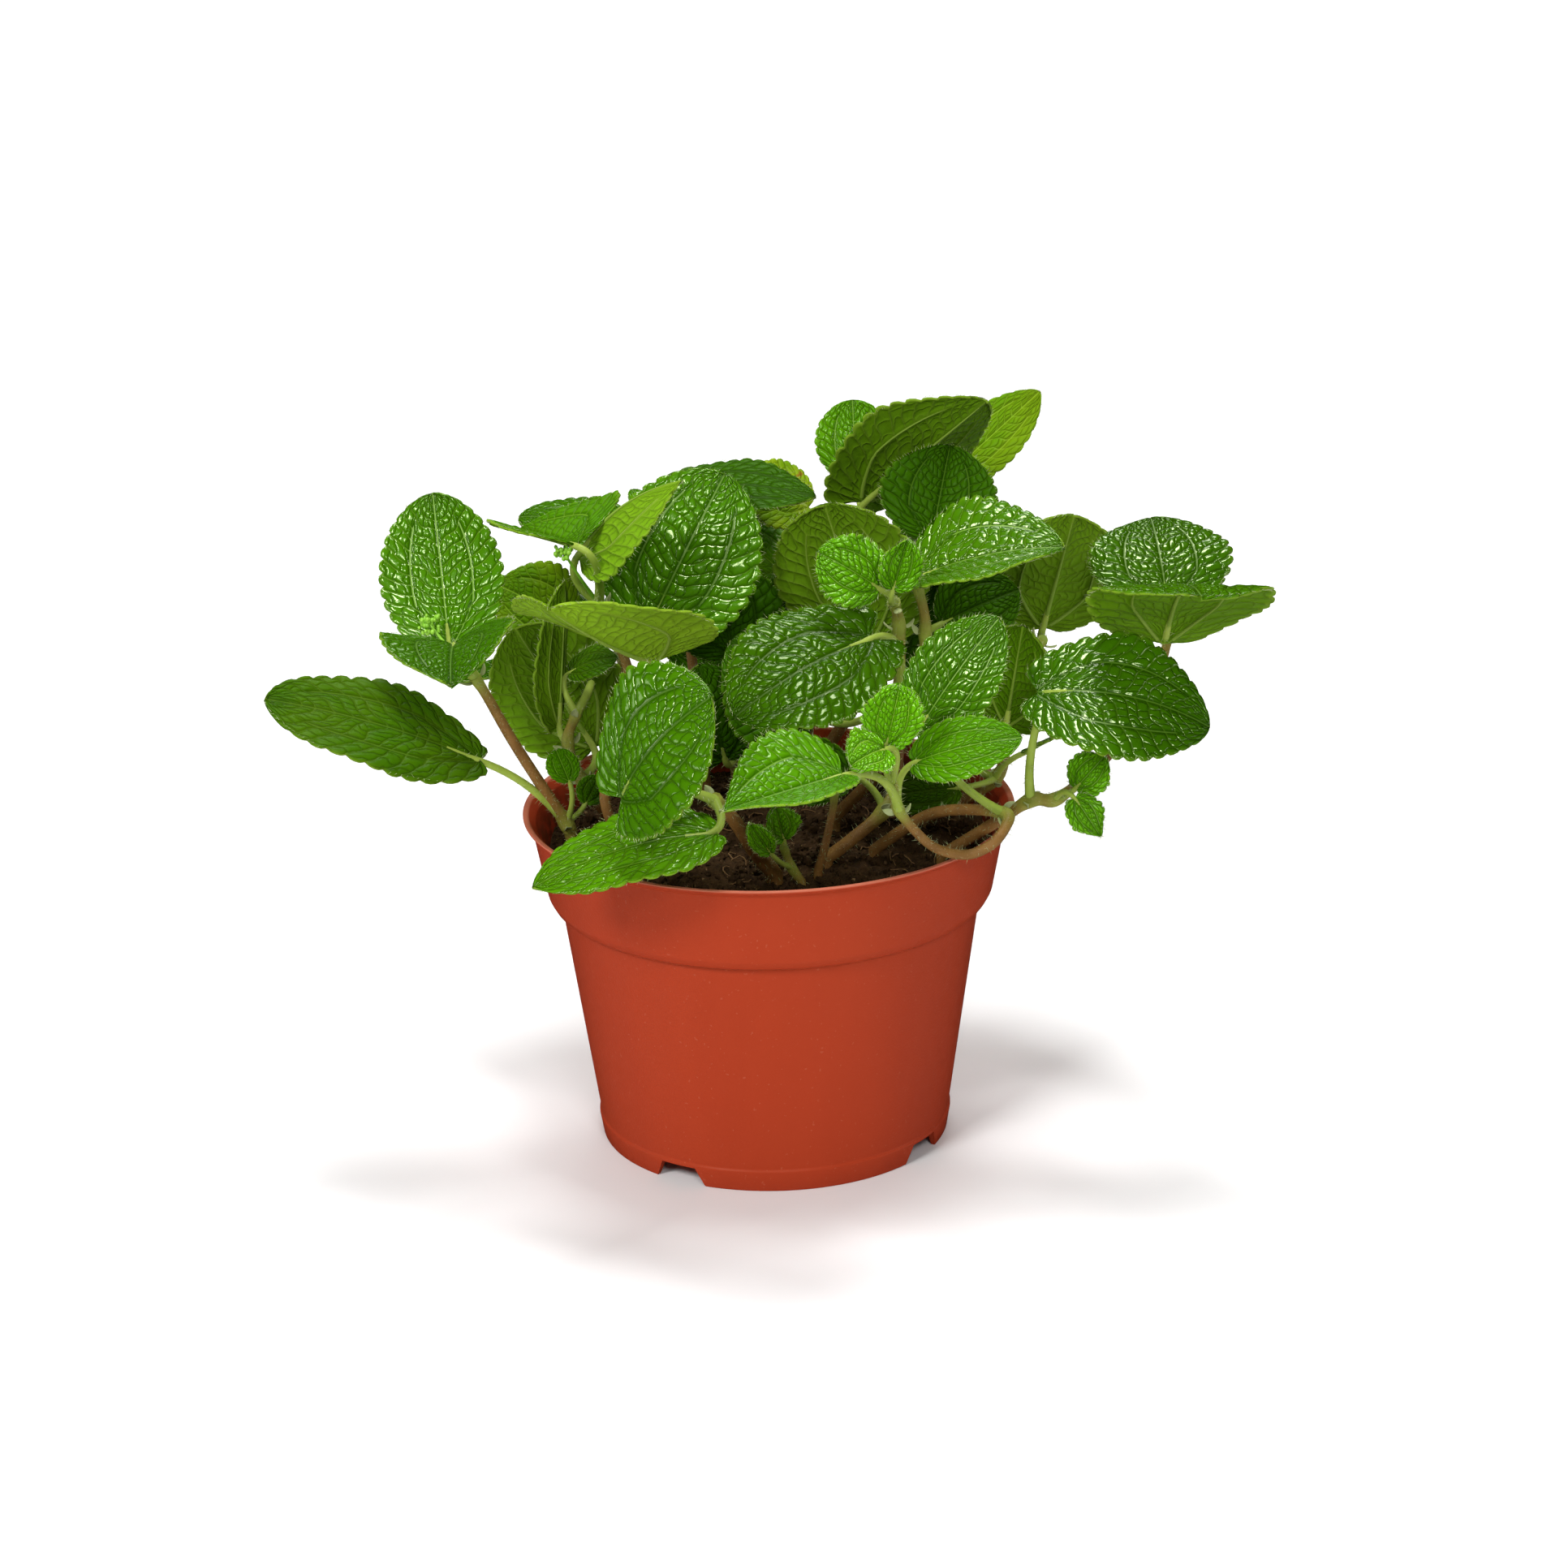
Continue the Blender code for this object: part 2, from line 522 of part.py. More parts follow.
def build_pot(material):
    pot = make_object("pot", lathe(pot_profile(), POT_SIDES), material)
    cutters = new_collection("pot_cutters")
    for angle in NOTCH_ANGLES:
        notch_cutter(angle, cutters)
    drains = [(0.0, 0.0)]
    for k in range(4):
        out = heading(45.0 + 90.0 * k)
        drains.append((out[0] * DRAIN_RING, out[1] * DRAIN_RING))
    for number, centre in enumerate(drains):
        bm = cylinder(centre, FLOOR_HEIGHT - 1.0, FLOOR_HEIGHT + WALL + 1.0, DRAIN_RADIUS, 8)
        as_cutter(make_object(f"drain_{number}", bm, collection=cutters))
    apply_boolean(pot, "DIFFERENCE", cutters, "EXACT")
    return pot


def soil_height(x, y):
    """Lumpy top of the soil, lowest at the pot's wall."""
    lumps = math.sin(0.21 * x + 1.3) * math.cos(0.17 * y - 0.4) + 0.5 * math.sin(0.43 * x - 0.36 * y)
    return SOIL_TOP + 0.8 * lumps


def build_soil(material):
    """Plug of soil that fills the pot to 8 mm below its rim, with a hole for each stem."""
    top_rings = (47.4, 40.0, 28.0, 14.0)
    profile = [(0.0, FLOOR_HEIGHT + WALL + GAP), (FOOT_RADIUS - 0.6 - GAP, FLOOR_HEIGHT + WALL + GAP),
               (STEP_RADIUS - WALL - GAP, STEP_HEIGHT + 0.8), (45.4 - GAP, STEP_HEIGHT + 1.7),
               (46.3 - GAP, STEP_HEIGHT + 2.7)]
    profile += [(radius, SOIL_TOP) for radius in top_rings] + [(0.0, SOIL_TOP)]
    bm = lathe(profile, POT_SIDES)
    for vert in bm.verts:
        if vert.co.z == SOIL_TOP:
            vert.co.z = soil_height(vert.co.x, vert.co.y)
    soil = make_object("soil", bm, material)
    cutters = new_collection("soil_cutters")
    for name, spec in SHOOTS.items():
        radius = (spec["thick"] / 2.0 + GAP) / math.cos(math.pi / 8)
        bm = cylinder(spec["foot"], SOIL_TOP - HOLE_DEPTH, SOIL_TOP + 8.0, radius, 8)
        as_cutter(make_object(name + "_hole", bm, collection=cutters))
    apply_boolean(soil, "DIFFERENCE", cutters, "EXACT")
    return soil


def main():
    remove_objects()
    build_pot(make_material("pot_plastic", (0.48, 0.055, 0.022), 0.42))
    build_soil(make_material("soil_dark", (0.035, 0.022, 0.014), 0.95))
    for name, spec in SHOOTS.items():
        build_shoot(name, spec, make_material(name + "_leaf", (0.07, 0.24, 0.02), 0.38))


main()
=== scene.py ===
import math

import bpy
import numpy as np
from mathutils import Matrix, Vector, noise


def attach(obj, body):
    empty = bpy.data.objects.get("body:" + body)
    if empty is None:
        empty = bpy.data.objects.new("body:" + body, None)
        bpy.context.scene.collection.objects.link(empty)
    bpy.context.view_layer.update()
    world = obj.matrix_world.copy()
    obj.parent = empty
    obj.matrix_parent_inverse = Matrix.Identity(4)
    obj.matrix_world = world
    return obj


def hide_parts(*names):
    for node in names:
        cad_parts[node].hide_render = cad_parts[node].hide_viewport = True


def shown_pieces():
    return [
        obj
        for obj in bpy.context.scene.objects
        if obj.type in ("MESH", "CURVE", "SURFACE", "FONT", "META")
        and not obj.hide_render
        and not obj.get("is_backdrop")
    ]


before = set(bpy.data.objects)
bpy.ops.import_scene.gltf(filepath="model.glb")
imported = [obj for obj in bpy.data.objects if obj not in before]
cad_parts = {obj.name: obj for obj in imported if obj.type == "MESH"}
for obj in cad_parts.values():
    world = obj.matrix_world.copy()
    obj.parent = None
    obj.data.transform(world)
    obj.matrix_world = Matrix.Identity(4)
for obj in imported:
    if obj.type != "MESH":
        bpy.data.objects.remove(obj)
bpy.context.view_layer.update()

MM = 0.001
TURN = 2.0 * math.pi
rng = np.random.RandomState(27)

# Pot, in millimetres
RIM_RADIUS = 52.0
POT_HEIGHT = 72.7
FOOT_RADIUS = 37.1
STEP_RADIUS = 44.5
STEP_HEIGHT = 52.7
COLLAR_FOOT_RADIUS = 47.3
COLLAR_FOOT = STEP_HEIGHT + 2.6
COLLAR_RADIUS = 50.3
COLLAR_TOP = POT_HEIGHT - 1.8
WALL = 1.0
FLOOR_HEIGHT = 4.6
NOTCH_ANGLES = (-33.0, 57.0, 147.0, 237.0)
NOTCH_WIDTH = 13.0
NOTCH_HEIGHT = 4.1
NOTCH_SLANT = 2.4
DRAIN_RADIUS = 3.0
DRAIN_RING = 24.0
EDGE_ROUNDING = 0.3
SPIN_STEPS = 144

# Soil, in millimetres, and what lies on it
SOIL_TOP = 64.5
SOIL_RADIUS = 46.9
SOIL_GRID = 150
HOLE_DEPTH = 12.0
GAP = 0.3
CRUMBS = 2600
CRUMB_SPREAD = 46.0
FIBRES = 70
FIBRE_SPREAD = 43.0
FIBRE_RADIUS = 0.16
FIBRE_POINTS = 7
FIBRE_STEP = 0.9

# The photograph's eye, in millimetres, and its camera
EYE = np.array((3.34, -942.35, 411.89))
CAMERA_ELEVATION = 19.55
CAMERA_ROLL = -1.184
CAMERA_FOCUS = 5833.0
PHOTO_WIDTH = 1932.0
SENSOR_WIDTH = 36.0
WORLD_LIGHT = 0.19

# Leaf blade and its quilting, in millimetres
BLADE = 0.5
YOUNG_BLADE = 0.35
VEIN_LANE = 0.5
INNER_QUILTS = 3
OUTER_QUILTS = 2
BLADE_COLUMNS = 44
YOUNG_COLUMNS = 28
ROWS_PER_TOOTH = 4
PLAIN_LEAF = {"arch": 0.0, "fold": 0.0, "curl": 0.0, "lobe": 0.07, "point": 0.35, "lead": None}

# Stems, stipules, hairs and flower buds, in millimetres
STEM_STEPS = 8
STALK_STEPS = 12
RIB_STEPS = 14
STIPULE_LENGTH = 2.6
STIPULE_WIDTH = 1.7
STIPULE = 0.2
STEM_HAIR_SPACING = 0.32
STALK_HAIR_SPACING = 0.4
HAIR_RADIUS = 0.055
HAIR_LENGTHS = (0.7, 1.5)
BUD_RADII = (0.32, 0.55)
BUD_STALK_STEPS = 4
BUD_STALK_RADII = (0.45, 0.25)


# Where the leaves are: the same places as in the CAD model


def seen(right, up, depth):
    """Point at y = depth that the photograph shows where it shows (right, 0, up)."""
    through = np.array((right, 0.0, up))
    return EYE + (through - EYE) * (depth - EYE[1]) / -EYE[1]


def unit(vector):
    """The vector with a length of one."""
    vector = np.asarray(vector, float)
    return vector / np.linalg.norm(vector)


def heading(azimuth, rise=0.0):
    """Direction with its azimuth from +Y towards +X and its rise, in degrees."""
    a, r = math.radians(azimuth), math.radians(rise)
    return np.array((math.sin(a) * math.cos(r), math.cos(a) * math.cos(r), math.sin(r)))


def make_leaf(node, base, tip, width, face, **shape):
    """A leaf on the stem's point number node: face is where its upper side looks."""
    places = {"node": node, "base": base, "tip": tip, "width": width, "face": face}
    return {**PLAIN_LEAF, **places, **shape}


def leaf(node, base, tip, width, face, lead=None, **shape):
    """A leaf that the photograph shows: base, tip and lead are (right, up, depth)."""
    lead = seen(*lead) if lead else None
    return make_leaf(node, seen(*base), seen(*tip), width, face, lead=lead, **shape)


def shoot(foot, path, leaves, thick=2.6):
    """A stem from its foot in the soil through the points of its path, with its leaves."""
    top = np.array((foot[0], foot[1], SOIL_TOP + 2.0))
    path = [top] + [seen(*place) for place in path]
    return {"foot": foot, "path": path, "leaves": leaves, "thick": thick}


def hidden_leaf(node, stem, azimuth, rise, reach, lift, length, width, lean, arch):
    """A leaf placed by rule, reach out from its node, with its upper side turned by lean."""
    along = heading(azimuth, rise)
    up = heading(azimuth, rise + 90.0)
    angle = math.radians(lean)
    base = stem[node] + reach * heading(azimuth) + np.array((0.0, 0.0, lift))
    face = up * math.cos(angle) + np.cross(along, up) * math.sin(angle)
    return make_leaf(node, base, base + along * length, width, face, arch=arch, point=0.3)


def hidden_shoot(azimuth, foot, reach, top, size, headings):
    """A shoot behind the plant: two low leaves, a pair at the top and a young leaf above them."""
    def place(share, rise_share):
        radius = foot + (reach - foot) * share
        height = SOIL_TOP + (top - SOIL_TOP) * rise_share
        return heading(azimuth) * radius + np.array((0.0, 0.0, height))

    start = place(0.0, 0.0)
    stem = [start + np.array((0.0, 0.0, 2.0)), place(0.35, 0.4), place(0.75, 0.75), place(1.0, 1.0)]
    lowest, low, left, right, young = headings
    leaves = [hidden_leaf(1, stem, lowest, 4.0, 9.0, 3.0, size * 0.75, size * 0.6, 0.0, 2.0),
              hidden_leaf(2, stem, low, -4.0, 9.0, 2.0, size, size * 0.8, 0.0, 3.0)]
    for turn, lean in ((left, -12.0), (right, 12.0)):
        if turn is not None:
            leaves.append(hidden_leaf(3, stem, turn, 12.0, 8.0, 4.0, size * 0.9, size * 0.72,
                                      lean, 2.5))
    leaves.append(hidden_leaf(3, stem, young, 40.0, 4.0, 6.0, size * 0.42, size * 0.3, 0.0, 1.0))
    return {"foot": (start[0], start[1]), "path": stem, "leaves": leaves, "thick": 2.6}


# Every leafy stem by its node's name: places are read off the photograph in millimetres
SHOOTS = {
    "shoot_left": shoot((-41.5, -3), [(-43, 69.5, -4), (-49, 80, -7), (-54, 89, -10),
                                      (-58.5, 98, -13), (-61, 102.5, -14)], [
        leaf(5, (-66, 109, -12), (-68, 142.5, 4), 25.5, (0.05, -0.9, 0.35), arch=-1.5, point=0.15),
        leaf(5, (-65, 109.5, -22), (-66, 100.5, -48), 27, (-0.1, -0.18, 0.98), arch=2, fold=0.41),
        leaf(1, (-61, 84, -10), (-105, 98.5, -18), 25, (0.15, -0.45, 0.88), arch=2, point=0.2),
        leaf(1, (-42, 79, -8), (-44.5, 86, -10), 7, (-0.1, -0.9, 0.4), point=0.1),
        leaf(1, (-38.5, 74, 2), (-35.5, 80, -1), 7, (0.2, -0.9, 0.4), point=0.1),
    ], thick=2.8),
    "shoot_tall_left": shoot((-24, 4), [(-26.5, 86.5, 4), (-28, 99, 4), (-30, 107.5, 3),
                                        (-34.5, 118, 0)], [
        leaf(4, (-39, 131, -14), (-50.5, 134.5, 1), 32, (0, 0, 1), fold=0.42, lobe=0, point=1.2),
        leaf(4, (-38, 128, -6), (-16.5, 144, -11), 20, (0.95, -0.15, 0.28), arch=-3, fold=0.7,
             lobe=0.04, point=1.2),
        leaf(4, (-25, 111, 6), (-7.5, 145.5, 16), 33, (0.05, -0.88, 0.45), arch=3, point=0.2),
    ]),
    "shoot_inner_left": shoot((-30, -12), [(-34.5, 76.5, -12), (-26.5, 90, -10),
                                           (-25.5, 99, -8)], [
        leaf(3, (-23.5, 105, -6.5), (-44.5, 117, -36.5), 44, (-0.06, 0.1, 0.99), arch=-1,
             fold=0.45, curl=-4, lobe=0.02, point=0.5),
    ]),
    "shoot_behind_left": shoot((-34, 10), [(-39.5, 79.5, 8), (-42, 87.5, 4), (-40, 94, 6)], [
        leaf(2, (-44, 91.5, 7), (-41.5, 123, 6), 14, (-0.7, 0.35, 0.5), fold=0.35, point=0.4),
        leaf(1, (-36.5, 86.5, 17), (-52, 113, 19), 29, (-0.1, 0.95, 0.25), point=0.2),
        leaf(3, (-41, 103, 9), (-31, 106, 8), 11, (0.1, -0.35, 0.93), arch=1),
        leaf(3, (-41, 113, 30), (-55.5, 122.5, 30), 21, (-0.1, -0.75, 0.65), arch=2),
    ]),
    "shoot_front": shoot((1, -25), [(-3, 62, -31), (-7.5, 69.5, -38), (-11.5, 74, -44)], [
        leaf(3, (-31, 75, -57), (-11.5, 97, -67), 36, (-0.13, -0.62, 0.77), arch=3, curl=1,
             lobe=0.19, point=0.1, lead=(-22, 79, -47)),
        leaf(3, (-11.5, 66.5, -50), (-50.5, 55, -56), 22, (-0.1, -0.35, 0.93), arch=3, point=0.5),
    ], thick=3.6),
    "shoot_young_front": shoot((6.5, -30), [(4.5, 58.5, -31), (3, 63, -32)], [
        leaf(2, (3, 65, -34), (1.5, 72, -36), 8, (0.3, -0.9, 0.3), fold=0.3),
        leaf(1, (0, 62, -38), (-4, 68.5, -43), 5, (-0.2, -0.8, 0.5), fold=0.3),
    ], thick=2.0),
    "shoot_thin_front": shoot((10, -24.5), [(11.5, 62, -25), (13.5, 71, -24), (14, 75.5, -24)], [
        leaf(3, (13, 77, -30), (6, 78.5, -35), 8, (0, 0.4, 0.9)),
    ], thick=2.0),
    "shoot_centre": shoot((12, -16.5), [(17.5, 64.5, -16), (24.5, 71, -12), (27, 78, -8),
                                        (28, 97.5, -6), (28, 112, -6), (27, 117, -12)], [
        leaf(4, (22, 109, -20), (-6.5, 92.5, -38), 30.5, (-0.25, -0.7, 0.67), arch=3, lobe=0.2,
             point=0.2),
        leaf(6, (24, 120, -17), (11.5, 128, -18), 14.5, (-0.1, -0.85, 0.5), arch=2, point=0.1),
        leaf(6, (27, 120, -20), (30, 130.5, -21), 9, (0.3, -0.7, 0.6), fold=0.3),
        leaf(5, (22, 109, 12), (13, 138.5, 7), 34, (0.1, 0.7, 0.7), curl=1, lobe=0.12, point=0.2),
        leaf(4, (10.5, 92.5, 4), (-7, 109, 4), 30, (-0.1, -0.75, 0.65), arch=2),
        leaf(2, (17, 79, -9), (-4, 81, -10), 15, (0, -0.85, 0.5), arch=2),
    ], thick=3.0),
    "shoot_rim": shoot(
        (22, -12), [(31.5, 68.5, -16), (37.5, 70.5, -22), (45, 70.5, -27), (50, 69.5, -30),
                    (50.5, 67.5, -33), (47.5, 63, -37), (42, 60.5, -38), (35.5, 62, -40),
                    (31, 66, -42), (27.5, 71, -45), (26, 77, -47)], [
        leaf(11, (25, 85.5, -50), (28, 98.5, -52), 12, (0.1, -0.9, 0.4), arch=1, point=0.1),
        leaf(11, (24.5, 84.5, -55), (17.5, 81, -60), 11, (-0.1, -0.75, 0.66), arch=1, fold=0.3,
             point=0.3),
        leaf(10, (15.5, 79, -61), (-9.5, 71.5, -73), 26, (-0.1, -0.3, 0.95), fold=0.45, point=1.1),
        leaf(10, (31, 81.5, -44), (53.5, 86.5, -48), 13.5, (0, -0.75, 0.66), arch=2, point=0.4),
        leaf(4, (31.5, 88, -38), (49, 113, -34), 19, (-0.2, -0.85, 0.5), arch=2, point=0.3,
             lead=(36.5, 77.5, -30)),
    ]),
    "shoot_right": shoot((36, -16), [(48.5, 68, -24), (55.5, 72.5, -28), (60.5, 72.5, -27),
                                     (66, 76.5, -26), (72.5, 83, -24), (81, 96.5, -13),
                                     (85, 110.5, -6)], [
        leaf(2, (57, 96.5, -32), (93, 88, -34), 30, (0.1, -0.62, 0.78), arch=5, lobe=0.12,
             point=0.3, lead=(54, 82.5, -30)),
        leaf(7, (84, 115.5, -3), (80.5, 134, 14), 30, (0, -0.3, 0.95), arch=2, point=0.2),
        leaf(7, (83.5, 107, -19), (91, 117, -50), 37.5, (0.03, 0.3, 0.95), arch=6, curl=-1,
             point=0.1),
        leaf(3, (65, 72.5, -34), (70.3, 64, -37), 8, (0.3, -0.8, 0.4), lobe=0.1, point=0.9),
        leaf(3, (65, 75, -29), (71, 82, -31), 9, (0.1, -0.8, 0.5)),
    ]),
    "shoot_shade_right": shoot((34, 6), [(48, 77.5, 6), (50.5, 88, 6), (54, 102.5, 12),
                                         (58, 108, 14)], [
        leaf(4, (58, 111, 22), (64.5, 135, 17), 32, (0, 0.6, 0.8), point=0.3),
        leaf(2, (50.5, 89.5, -4), (54, 111, -12), 22, (0.5, 0.75, 0.4), point=0.4),
        leaf(1, (36.5, 89.5, 1), (46.5, 93, 4), 12, (0, -0.7, 0.7)),
        leaf(1, (40, 75.5, -3), (25, 74, -5), 11, (0, -0.85, 0.5), arch=1),
        leaf(1, (54, 83.5, 0), (62.5, 87.5, 0), 12, (0, 0.3, 0.95)),
    ]),
    "shoot_upper": shoot((14, 8), [(30.5, 88.5, 8), (33.5, 110, -1), (32, 120.5, -3)], [
        leaf(3, (31.5, 122, -8), (62.5, 128, -12), 29, (0, -0.3, 0.95), arch=2, fold=0.35,
             point=0.5),
        leaf(3, (35, 130.5, 14), (39, 150.5, 24), 25, (-0.05, -0.75, 0.66), fold=0.3, point=0.4,
             lead=(39.5, 124, 4)),
        leaf(2, (37, 112, 6), (53, 119, 7), 18, (0, -0.85, 0.5), arch=2),
    ], thick=2.8),
    "shoot_back_top": shoot((6, 24), [(25, 106.5, 26), (22, 126, 30), (21.5, 133.5, 36)], [
        leaf(3, (21, 139, 32), (46.5, 160, 24), 33, (-0.3, 0.75, 0.55), fold=0.25, lobe=0.2,
             point=0.5),
        leaf(3, (19.5, 144, 50), (19, 160.5, 56), 17, (0, -0.8, 0.6), point=0.1,
             lead=(20.5, 135, 52)),
        leaf(2, (9.5, 138, 46), (-3.5, 144.5, 46), 20, (-0.3, -0.4, 0.87), lead=(17, 128, 46)),
        leaf(1, (27, 101, 20), (36, 121, 16), 22, (0, -0.85, 0.5), arch=1),
    ], thick=2.8),
    "shoot_far_right": shoot((17, 33), [(36, 113.5, 34), (39, 133.5, 44)], [
        leaf(2, (38, 143.5, 52), (57.5, 161.5, 56), 15, (-0.2, -0.75, 0.6), point=0.4),
        leaf(1, (36, 121, 30), (44, 137, 27), 23, (0.05, -0.85, 0.5), arch=2),
    ]),
    "shoot_far_left": shoot((-6, 22), [(-7, 84, 22), (-7.5, 107.5, 24), (-7, 127, 24)], [
        leaf(3, (-20, 142.5, 34), (11, 140, 27), 22, (0.1, -0.25, 0.96), arch=2, point=0.4,
             lead=(-14, 137, 33)),
        leaf(2, (-7, 106.5, 19), (-10, 127, 20), 25, (0, -0.75, 0.65), arch=2),
        leaf(2, (-2, 109, 28), (18, 115, 33), 24, (0.1, -0.8, 0.6), arch=2),
        leaf(1, (-9, 83, 14), (-14, 104, 10), 24, (0, -0.85, 0.5), arch=2),
    ]),
    "shoot_back_1": hidden_shoot(-46, 34, 44, 98, 30, (-28, -74, None, -46, 20)),
    "shoot_back_2": hidden_shoot(-24, 34, 44, 114, 31, (8, -12, -82, 30, -50)),
    "shoot_back_3": hidden_shoot(14, 34, 43, 104, 31, (38, 14, -42, 68, 20)),
    "shoot_back_4": hidden_shoot(62, 34, 46, 94, 31, (48, 78, 40, None, 20)),
}

# How a leaf can look, by its youth, yellowing, shine, relief, light underside and brightness: the
# brightness darkens the leaf's colour, partly for its own darker green and partly as painted shade
# on leaves that lie in shade
LOOK_PARTS = ("youth", "yellow", "shine", "relief", "light", "tone_and_shade")
LOOKS = {title: dict(zip(LOOK_PARTS, shares)) for title, shares in {
    "glossy": (0.1, 0.0, 0.9, 1.1, 0.0, 0.74),
    "waxy": (0.2, 0.0, 1.0, 1.0, 0.6, 0.93),
    "sleek": (0.1, 0.0, 1.0, 1.0, 0.25, 0.82),
    "bright": (0.5, 0.0, 0.9, 0.8, 0.4, 1.0),
    "full": (0.4, 0.0, 1.0, 0.8, 0.1, 0.75),
    "sappy": (0.45, 0.0, 0.9, 1.2, 0.3, 0.92),
    "mature": (0.15, 0.0, 0.8, 1.0, 0.3, 0.9),
    "fresh": (0.3, 0.0, 1.0, 1.0, 0.3, 0.85),
    "shaded": (0.2, 0.0, 0.55, 1.0, 0.3, 0.55),
    "dull": (0.15, 0.12, 0.5, 1.2, 0.25, 0.72),
    "soft": (0.4, 0.1, 0.35, 0.8, 0.5, 0.9),
    "deep": (0.0, 0.0, 0.5, 1.0, 0.0, 0.85),
    "olive": (0.1, 0.15, 0.3, 0.9, 0.15, 0.8),
    "pale": (0.4, 0.45, 0.3, 0.8, 0.9, 1.0),
    "spotted": (0.4, 0.9, 0.2, 0.8, 0.9, 1.0),
    "young": (0.95, 0.0, 1.0, 2.4, 0.5, 0.88),
    "lime": (1.0, 0.0, 1.0, 2.4, 0.9, 1.0),
}.items()}

# Looks of each shoot's leaves in their order
LEAF_LOOKS = {
    "shoot_left": "waxy mature dull bright bright",
    "shoot_tall_left": "soft soft fresh",
    "shoot_inner_left": "pale",
    "shoot_behind_left": "olive olive dull pale",
    "shoot_front": "full sappy",
    "shoot_young_front": "young young",
    "shoot_thin_front": "pale",
    "shoot_centre": "glossy young young olive deep deep",
    "shoot_rim": "lime lime bright bright waxy",
    "shoot_right": "sleek sleek mature young young",
    "shoot_shade_right": "olive deep olive olive deep",
    "shoot_upper": "waxy shaded deep",
    "shoot_back_top": "olive bright spotted deep",
    "shoot_far_right": "pale deep",
    "shoot_far_left": "deep deep deep deep",
    "shoot_back_1": "mature glossy mature bright",
    "shoot_back_2": "mature soft mature waxy bright",
    "shoot_back_3": "mature glossy soft mature bright",
    "shoot_back_4": "mature waxy mature bright",
}

# Clusters of flower buds beside the topmost leaves: centre, number of buds and spread
BUD_CLUSTERS = {
    "shoot_left": (seen(-70.0, 114.5, -13.0), 44, 1.2),
    "shoot_tall_left": (seen(-41.5, 129.5, -13.0), 36, 0.95),
}


# Leaf geometry


def leaf_length(spec):
    """Length of the leaf from its base to its tip."""
    return np.linalg.norm(spec["tip"] - spec["base"])


def leaf_frame(spec):
    """Leaf's own directions: along its midrib, out of its upper side, and across."""
    along = unit(spec["tip"] - spec["base"])
    face = np.asarray(spec["face"], float)
    up = unit(face - np.dot(face, along) * along)
    return along, up, np.cross(along, up)


def half_width(t, point):
    """Share of the half width at t along the leaf: point 0 is round and 1 is sharp."""
    start, end = 0.5, 0.5 + 0.45 * point
    widest = start / (start + end)
    return t ** start * (1.0 - t) ** end / (widest ** start * (1.0 - widest) ** end)


def leaf_surface(spec, t, across, lift=0.0):
    """Points of the leaf at t along it (0 to 1) and across it (-1 to 1), raised by lift."""
    t, across = np.atleast_1d(t).astype(float), np.atleast_1d(across).astype(float)
    along, up, side = leaf_frame(spec)
    half = spec["width"] / 2.0
    share = half_width(np.clip(t, 0.0, 1.0), spec["point"])
    y = across * share * half
    lobes = np.maximum(0.0, 1.0 - t / 0.35) ** 2 * np.minimum(1.0, share / 0.3)
    x = leaf_length(spec) * (t - spec["lobe"] * across ** 2 * lobes)
    z = (spec["arch"] * 4.0 * t * (1.0 - t) + spec["fold"] * np.abs(y)
         + spec["curl"] * (y / half) ** 2 + lift)
    return spec["base"] + np.outer(x, along) + np.outer(y, side) + np.outer(z, up)


def vein_lane(t):
    """Where the two side main veins run, as a share of the leaf's half width."""
    return VEIN_LANE * (0.35 + 0.65 * np.clip(t / 0.3, 0.0, 1.0) ** 0.7)


def run_lengths(steps):
    """How far along a line each of its points lies, from the lengths of its steps."""
    return np.concatenate(([0.0], np.cumsum(steps)))


def smooth_path(points, steps):
    """Points of a smooth curve through the given points."""
    points = [np.asarray(p, float) for p in points]
    ends = [2 * points[0] - points[1]] + points + [2 * points[-1] - points[-2]]
    path = []
    for i in range(1, len(ends) - 2):
        a, b, c, d = ends[i - 1:i + 3]
        for u in np.arange(steps) / steps:
            path.append(0.5 * (2 * b + (c - a) * u + (2 * a - 5 * b + 4 * c - d) * u ** 2
                               + (3 * b - a - 3 * c + d) * u ** 3))
    path.append(points[-1])
    return path


def stalk_path(start, spec):
    """Leaf stalk from its node on the stem to the leaf and a little way along its underside."""
    along, up, _ = leaf_frame(spec)
    lead = spec["lead"]
    if lead is None:
        lead = spec["base"] - along * np.linalg.norm(spec["base"] - start) * 0.45
    end = leaf_surface(spec, 0.05, 0.0)[0] - 0.4 * up
    path = [(1 - u) ** 2 * start + 2 * u * (1 - u) * lead + u * u * end
            for u in np.arange(STALK_STEPS + 1) / STALK_STEPS]
    path.append(leaf_surface(spec, 0.16, 0.0)[0] - 0.3 * up)
    return path


# Blender helpers


def pick(item):
    """Makes item the only selected object and the active one."""
    bpy.ops.object.select_all(action="DESELECT")
    item.select_set(True)
    bpy.context.view_layer.objects.active = item
    return item


def link_object(name, data):
    """A new object of the data, linked to the scene."""
    item = bpy.data.objects.new(name, data)
    bpy.context.scene.collection.objects.link(item)
    return item


def join(items, name):
    """One object of several, with its own name."""
    pick(items[0])
    for item in items[1:]:
        item.select_set(True)
    if len(items) > 1:
        bpy.ops.object.join()
    whole = bpy.context.object
    whole.name = whole.data.name = name
    return whole


def apply_modifiers(item):
    """Applies all of the object's modifiers in their order."""
    pick(item)
    for modifier in list(item.modifiers):
        bpy.ops.object.modifier_apply(modifier=modifier.name)


def settle(item):
    """Puts the object at the origin, with its place in its mesh."""
    pick(item)
    bpy.ops.object.transform_apply(location=True, rotation=True, scale=True)
    return item


